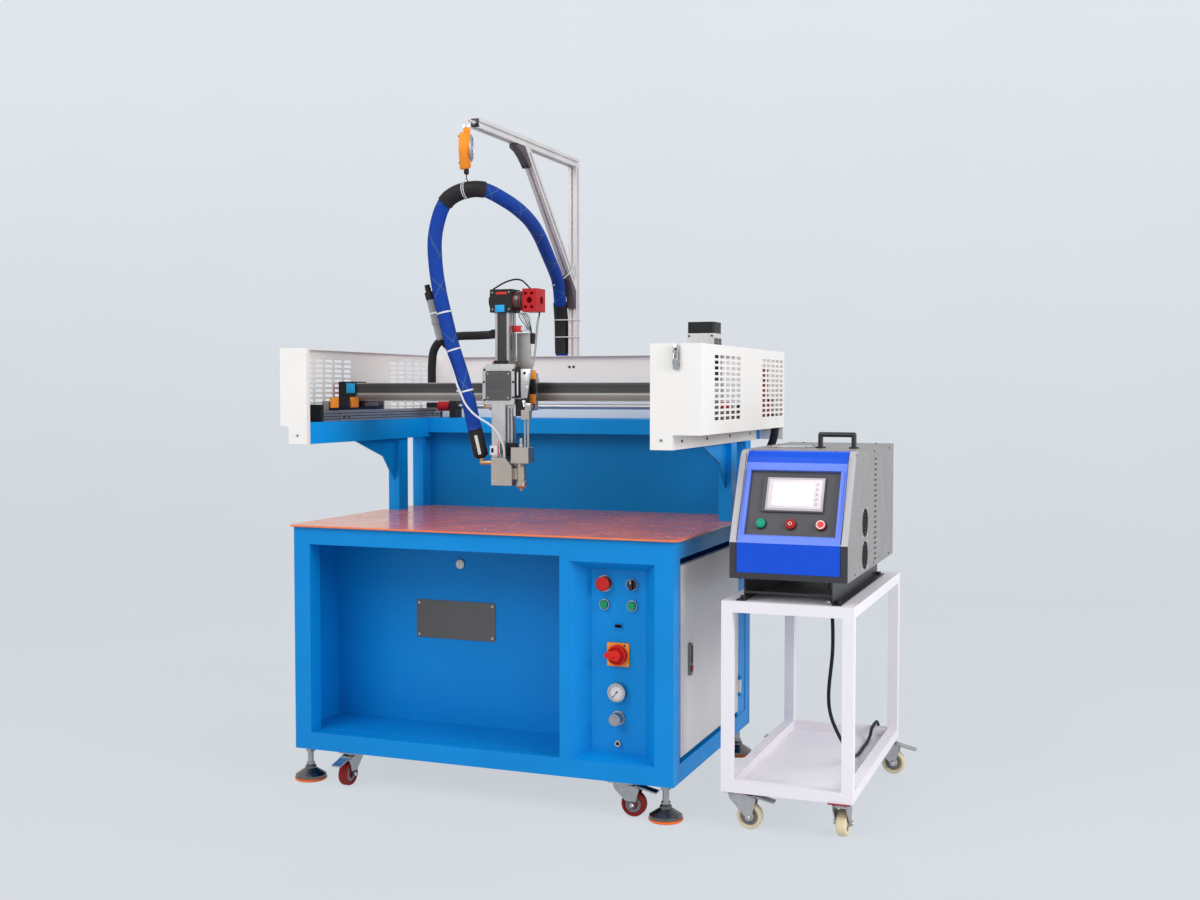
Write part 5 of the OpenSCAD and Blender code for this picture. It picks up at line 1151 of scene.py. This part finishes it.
def add_tile(bm, centre, size, edge=0.6, tone=0):
    """Block on the melter's sloping face, by its centre and its size in millimetres."""
    join(bm, brick(Vector(size) / 1000, edge),
         Matrix.Translation(on_slope(*centre)) @ Matrix.Rotation(-SLOPE, 4, "X"), tone)


def add_fan(bm, z):
    """Fan in the melter's right side with its wire guard, at a height."""
    add_screws(bm, product((1666.5,), (226, 298), (z - 36, z + 36)), RIGHT, 3.6, 1.8, 0)
    for inner in (6.4, 16.4, 26.4, 35.4):
        add_ring(bm, (1666.4, 262, z), RIGHT, inner, 1.5, 3.2, 4, 56)
    for y, up in arc(38, (45, 135)):
        add_rod(bm, (1667, 262 - y, z - up), (1667, 262 + y, z + up), 1.4, 0.3, 12, 4)
    add_turned(bm, (1662, 262, z), RIGHT, disc(14, 2), 32, 1)
    add_ring(bm, (1650, 262, z), RIGHT, 38.6, 14.2, 5, 1, 56)
    for k in range(3):
        join(bm, brick((0.003, 0.040, 0.004)), stood(1653, 262, z, spun("X", 120 * k + 20))
             @ Matrix.Translation((0, 0.021, 0)), 1)
    add_rod(bm, (1651.5, 262, z), (1662.5, 262, z), 13, 0.5, 32, 1)
    for k in range(7):
        join(bm, brick((0.004, 0.020, 0.012), 1.2), stood(1660, 262, z, spun("X", k * 360 / 7))
             @ Matrix.Translation((0, 0.024, 0)) @ Matrix.Rotation(0.5, 4, "Y"), 1)


class MakeMelterDetails(bpy.types.Operator):
    """Screen, bezels, buttons, fans, seams, vents and screws of the melter"""

    bl_idname = "glue_machine.melter"
    bl_label = "Melter details"

    def execute(self, context):
        steel, dark, rubber, white, red = stock("bright_steel", "dark_steel", "black_moulding",
                                                "tie_white", "tag_red")
        frame_grey = finish("screen_frame", plastic((0.48, 0.44, 0.47), 0.4, 900))
        border = finish("screen_border", plastic((0.72, 0.66, 0.72), 0.3, 900))
        glass = finish("screen_glass", plastic((0.86, 0.85, 0.87), 0.12, 200), bump=0.02, edge=0,
                       Coat_Weight=0.5, Emission_Strength=0.35)
        bm = bmesh.new()
        add_tile(bm, (4, 4.6, 142), (156, 3.4, 94), 1.4, 0)
        add_tile(bm, (4, 2.6, 142), (144, 1.2, 82), 0.5, 1)
        add_tile(bm, (-1, 1.9, 142), (110, 0.8, 66), 0.3, 2)
        for k in range(5):
            add_tile(bm, (64, 1.8, 114 + k * 14), (5, 0.6, 6), 0.2, 0)
        for side in (-1, 1):
            add_tile(bm, (side * 126.4, 6.1, 116), (6.6, 12, 185.6), 0.5, 4)
            add_tile(bm, (side * 139.9, 0.1, 131), (1.6, 1.4, 254), 0.3, 3)
        for x in (-81, 0, 81):
            add_ring(bm, on_slope(x, 12, 58), FACE_UP, 13.6, 3.4, 1.8, 3, 48)
        put("screen_and_bezels", bm, "trolley", "melter_grey", frame_grey, border, glass, dark,
            finish("frame_bar", coat((0.14, 0.24, 0.85), 0.35, 0.05)))

        # Domed caps of the three buttons; two of them have a ring for their mark
        mark = finish("cap_mark", plastic((0.72, 0.60, 0.58), 0.4, 900), edge=0)
        for x, body, name, tint, shade, ring in (
                (-81, "melter_power", "left", "green", (0.01, 0.30, 0.20), None),
                (0, "melter_stop_left", "middle", "red", (0.36, 0.015, 0.02),
                 (0.0018, 3.4, 0.9, 1.6)),
                (81, "melter_stop_right", "right", "pink", (0.75, 0.06, 0.07),
                 (0.0006, 9, 1.2, 3))):
            bm = bmesh.new()
            base = on_slope(x, 2.2, 58)
            add_turned(bm, base, FACE_UP, [(0, 0), (12.2, 0), (12.2, 0.6), (10, 1.6), (0, 2.6)])
            if ring:
                rise, *band = ring
                add_ring(bm, base + FACE_UP * rise, FACE_UP, *band, 1, 32 if x == 0 else 40)
            put("button_cap_" + name, bm, body, "red_plastic",
                finish("cap_" + tint, plastic(shade, 0.3, 500)), mark)

        # Fans, front seams, lid plate with its screws, black blocks over the vent slots as painted
        # shade, and screws of the housing
        bm = bmesh.new()
        for z in (727, 817):
            add_fan(bm, z)
        for x in (1367.2, 1647.8):
            add_block(bm, (x - 0.6, 19.6, 697), (x + 0.6, 22, 775), 0.2, 1, 1)
        add_screws(bm, ((1395, 90, 1018.1), (1620, 90, 1018.1), (1395, 700, 1018.1),
                        (1620, 700, 1018.1)), UP, 3.4, 1.8, 1)
        for x in (1529.5, 1623.5):
            add_ring(bm, (x, 320, 1018.2), UP, 7.2, 3, 7, 1, 36)
        add_block(bm, (1378, 300, 1018.2), (1500, 420, 1021), 2, 2, 2)
        add_screws(bm, product((1388, 1490), (310, 410), (1021,)), UP, 3, 1.6, 1)
        # Black blocks over the vent holes: painted shade of the openings
        for k in range(20):
            add_block(bm, (1666.3, 408, 697.6 + 15 * k), (1667, 442, 702.4 + 15 * k), 0.3, 1, 4)
        add_screws(bm, product((1666.6,), (120, 400, 660), (690, 1008)), RIGHT, 3, 1.4, 1)
        add_screws(bm, product((1370, 1640), (740.1,), (700, 850, 1000)), BACK, 3, 1.4, 1)
        add_ring(bm, (1424.5, 752.2, 948), BACK, 13.4, 6, 5, 1, 6)
        put("melter_details", bm, "trolley", "black_plastic", white, dark, steel, red, rubber)
        return {"FINISHED"}


# Casters of bench and trolley: swivel axis, way the wheel trails, height of the axle
CASTERS = {
    "bench": (((178, 38, -90), (1045, 30, 0), (155, 762, 90), (1045, 762, 90)), 38),
    "trolley": (((1370, 48, 0), (1649, 44, 90), (1370, 732, 180), (1645, 732, 0)), 35.3)}
TRAIL = 0.032


class MakeCasterDetails(bpy.types.Operator):
    """Hub covers and axle nuts of the casters"""

    bl_idname = "glue_machine.casters"
    bl_label = "Caster details"

    def execute(self, context):
        steel, = stock("bright_steel")
        hub = finish("hub_plastic", plastic((0.16, 0.16, 0.17), 0.5, 500))
        for owner, (places, height) in CASTERS.items():
            for corner, (x, y, turn) in zip(("fl", "fr", "rl", "rr"), places):
                turned = stood(x, y, 0, spun("Z", turn))
                axle = turned.to_3x3() @ Vector((0, 1, 0))
                middle = turned @ Vector((TRAIL, 0, height / 1000))
                ring, nuts = bmesh.new(), bmesh.new()
                for way in (-axle, axle):
                    add_ring(ring, middle + way * 0.0098, way, 13, 1.6, 10, 0, 48)
                    add_turned(nuts, middle + way * 0.0229, way,
                               [(0, 0), (6.4, 0), (6.4, 3.4), (5.4, 4.4), (0, 4.4)], 6, 0)
                put(f"{owner}_hub_{corner}", ring, f"{owner}_roller_{corner}", "steel", hub)
                put(f"{owner}_nuts_{corner}", nuts, f"{owner}_swivel_{corner}", "steel", steel)
        return {"FINISHED"}


def finish_rows(colours):
    """Name, style and CAD nodes of each finish, and the boxes in machine millimetres in which
    another style takes over."""
    # The lines of a metal's making run across, in from the front, or up, or cross each other
    across, inward, upward, crossed = (9, 900, 900), (900, 9, 900), (900, 900, 9), (60, 60, 60)
    blue = tuple(colours.bench)
    paint = coat(blue, 0.42, 0.10)
    orange = plastic(tuple(colours.orange), 0.4)
    black = plastic((0.018, 0.018, 0.02), 0.45)
    steel = metal((0.42, 0.43, 0.44), 0.34, crossed)
    dark = metal((0.07, 0.07, 0.075), 0.38, upward)
    red = coat((0.42, 0.012, 0.015), 0.4)
    # Dark metal for the modules' side grooves: painted shade in the slots
    groove_painted_shade = metal((0.10, 0.10, 0.105), 0.5, inward)
    panel_grey = coat((0.085, 0.085, 0.095), 0.4)
    return (
        ("bench_blue", paint, "bench_frame bench_panels control_panel"),
        # Painted light: gantry and back wall take the bench's blue scaled up 1.28 and 1.1 times, so
        # they look as lit as the bench
        ("gantry_blue", coat(tuple(c * 1.28 for c in blue), 0.42, 0.10), "gantry_frame"),
        ("wall_blue", coat(tuple(c * 1.1 for c in blue), 0.45, 0.10), "back_wall"),
        ("cover_white", coat(tuple(colours.covers), 0.45, 0.04),
         "left_cover right_cover rear_cover",
         ((1203, -27, 1237), (1223, -20.1, 1301), steel)),
        ("door_grey", coat((0.60, 0.59, 0.60), 0.5, 0.05), "side_door",
         ((1202.25, 120, 382), (1210.3, 150, 478), metal((0.22, 0.22, 0.23), 0.4, upward)),
         ((1210.3, 126, 395), (1215, 144, 413), plastic((0.62, 0.03, 0.03), 0.4))),
        ("trolley_white", coat(tuple(colours.trolley), 0.45, 0.04), "trolley_frame",
         ((1330, 0, 99.7), (1700, 800, 102.95), coat((0.30, 0.02, 0.03), 0.45)),
         ((1330, 0, 94), (1700, 800, 99.7), steel)),
        ("caster_zinc", steel, "feet_and_caster_plates bench_caster_fl bench_caster_fr"
         " bench_caster_rl bench_caster_rr",
         # Darker metal below 48 mm: the feet's polished dishes and the casters' lower parts are
         # painted darker, as painted dark reflection
         ((-60, -60, 4), (1260, 960, 48), metal((0.17, 0.165, 0.16), 0.28, crossed))),
        ("shaft_steel", steel, "y_drive_shaft",
         ((67, 785, 1100), (113, 835, 1150), red),
         ((1087, 785, 1100), (1133, 835, 1150), red)),
        ("trolley_zinc", metal((0.50, 0.50, 0.51), 0.45, crossed), "trolley_caster_fl"
         " trolley_caster_fr trolley_caster_rl trolley_caster_rr"),
        ("pad_orange", plastic((0.85, 0.15, 0.02), 0.4), "foot_pads"),
        ("bench_tyres", plastic((0.20, 0.012, 0.012), 0.5),
         "bench_wheel_fl bench_wheel_fr bench_wheel_rl bench_wheel_rr"),
        ("trolley_tyres", plastic((0.72, 0.62, 0.42), 0.45),
         "trolley_wheel_fl trolley_wheel_fr trolley_wheel_rl trolley_wheel_rr"),
        ("stand_profile", metal((0.66, 0.635, 0.64), 0.45, upward, 0.2), "hose_stand"),
        ("balancer_orange", orange, "spring_balancer"),
        ("module_metal", metal((0.42, 0.42, 0.42), 0.42, inward), "y_axis_modules",
         # Bands along the side grooves: painted shade of the slots
         ((-5, 80, 1091), (1205, 836, 1093.5), groove_painted_shade),
         ((-5, 80, 1099.5), (1205, 836, 1102), groove_painted_shade),
         ((-5, 80, 1108), (1205, 836, 1110.5), groove_painted_shade),
         ((-5, 64, 1080), (1205, 80.3, 1160), black),
         ((-5, 835.7, 1080), (1205, 852, 1160), black),
         ((119, 750, 1080), (145, 880, 1170), black),
         ((1055, 750, 1080), (1081, 880, 1170), black),
         ((1211, 779, 1094), (1263, 841, 1156), red)),
        ("beam_metal", metal((0.42, 0.41, 0.40), 0.42, across), "x_beam",
         ((-6, 264, 1146), (55.2, 336, 1210), black),
         ((55, 264, 1172.5), (1151, 276, 1201.5), metal((0.09, 0.09, 0.095), 0.38, across)),
         ((55, 264, 1148), (1151, 276, 1166), metal((0.25, 0.23, 0.22), 0.45, across))),
        ("x_motor_silver", metal((0.62, 0.61, 0.62), 0.45, upward, 0.35), "x_motor",
         ((1150, 262, 1200), (1240, 352, 1296), black),
         ((1150, 262, 1343.5), (1240, 352, 1380), black)),
        ("slide_metal", metal((0.46, 0.45, 0.45), 0.4, upward), "z_axis",
         ((585, 190, 1003), (615, 198.2, 1412), dark)),
        ("z_motor_black", black, "z_motor",
         ((641, 180, 1400), (652, 262, 1490), metal((0.10, 0.10, 0.10), 0.35, crossed)),
         ((636, 180, 1400), (638.5, 262, 1490), red),
         ((656, 180, 1400), (658.5, 262, 1490), red),
         ((665.5, 180, 1390), (720, 290, 1500), red)),
        ("head_silver", metal((0.60, 0.60, 0.61), 0.4, upward), "head_plate",
         ((558, 166, 1149), (642, 168.95, 1239), metal((0.13, 0.13, 0.135), 0.42, across)),
         ((651, 178, 1103), (682, 195, 1155), black)),
        ("gun_metal", metal((0.52, 0.48, 0.43), 0.4, (300, 300, 300)), "glue_gun"),
        ("panel_parts", metal((0.50, 0.50, 0.51), 0.32, crossed), "panel_fittings",
         ((986, 52.5, 410), (1054, 58, 478), orange),
         ((283, 240.9, 415), (556, 243, 535), metal((0.15, 0.145, 0.145), 0.42, across)),
         ((1006, 40, 514), (1034, 58, 532), paint),
         ((1009, 40, 518.6), (1031, 58, 529), black),
         # Inside of the air port painted dark: painted shade of the hole
         ((1014, 40, 188), (1026, 58, 200), dark)),
        ("motor_black", black, "selector_knob melter_fittings power_plug power_cord_coil"),
        ("red_knob", plastic((0.55, 0.02, 0.015), 0.35), "estop_button main_switch"
         " melter_stop_button_left melter_stop_button_right"),
        ("green_knob", plastic((0.01, 0.28, 0.12), 0.35),
         "start_button_left start_button_right melter_power_button"),
        ("knob_silver", steel, "regulator_knob"),
        ("housing_grey", coat(tuple(colours.housing), 0.40, 0.05), "melter_housing",
         # Inside faces of the housing painted black: painted shade seen through the fans and
         # openings
         ((1349.5, 22, 681), (1665.5, 739, 1017), black),
         ((1349.1, 19, 776), (1665.9, 165, 1017.2), coat((0.46, 0.45, 0.47), 0.35, 0.05)),
         ((1370, 19, 776), (1645, 165, 1010), panel_grey),
         ((1349.1, 19, 679), (1665.9, 20.8, 776), coat((0.045, 0.046, 0.055), 0.5))),
        ("front_blue", coat(tuple(colours.melter), 0.30, 0.05), "melter_front",
         ((1352, 19.5, 776), (1663, 165, 1016), coat((0.14, 0.24, 0.85), 0.35, 0.05)),
         ((1352, 100, 985), (1663, 165, 1018.5), coat((0.006, 0.085, 0.66), 0.3, 0.05)),
         ((1423, 19.5, 853), (1592, 165, 953), panel_grey)),
        ("brass", metal((0.62, 0.36, 0.14), 0.3, crossed), "hose_gun_end"))


class MakeFinishes(bpy.types.Operator):
    """Paints, metals and plastics of the machine's own parts"""

    bl_idname = "glue_machine.finishes"
    bl_label = "Finishes"

    def execute(self, context):
        colours = context.scene.machine_colours
        dress(finish("table_red", plastic(tuple(colours.table), 0.24, 900), bump=0.0,
                     Coat_Weight=0.4, Coat_Roughness=0.08), "table_top")
        for name, style, nodes, *regions in finish_rows(colours):
            dress(finish(name, style, regions), *nodes.split())
        return {"FINISHED"}


class MachinePanel(bpy.types.Panel):
    """Colours, sizes and steps of the glue dispensing machine"""

    bl_idname = "VIEW3D_PT_glue_machine"
    bl_label = "Glue machine"
    bl_space_type = "VIEW_3D"
    bl_region_type = "UI"
    bl_category = "Glue machine"

    def draw(self, context):
        layout = self.layout
        for group in ("machine_colours", "machine_sizes", "studio_light"):
            held = getattr(context.scene, group)
            box = layout.box()
            for name in held.bl_rna.properties.keys():
                if name not in ("rna_type", "name"):
                    box.prop(held, name)
        for step in STEPS:
            layout.operator(step.bl_idname)


STEPS = (MakeStage, MakeHoses, MakeFinishes, MakeHoseFittings, MakeStandFittings,
         MakeHeadFittings, MakeGantryFittings, MakeControls, MakeMelterDetails,
         MakeCasterDetails)
GROUPS = {"machine_colours": MachineColours, "machine_sizes": MachineSizes,
          "studio_light": StudioLight}


def register():
    for made in (*GROUPS.values(), *STEPS, MachinePanel):
        bpy.utils.register_class(made)
    for name, made in GROUPS.items():
        setattr(bpy.types.Scene, name, PointerProperty(type=made))


def unregister():
    for name in GROUPS:
        delattr(bpy.types.Scene, name)
    for made in reversed((*GROUPS.values(), *STEPS, MachinePanel)):
        bpy.utils.unregister_class(made)


def main():
    register()
    for step in STEPS:
        category, name = step.bl_idname.split(".")
        getattr(getattr(bpy.ops, category), name)()


if __name__ == "__main__":
    main()
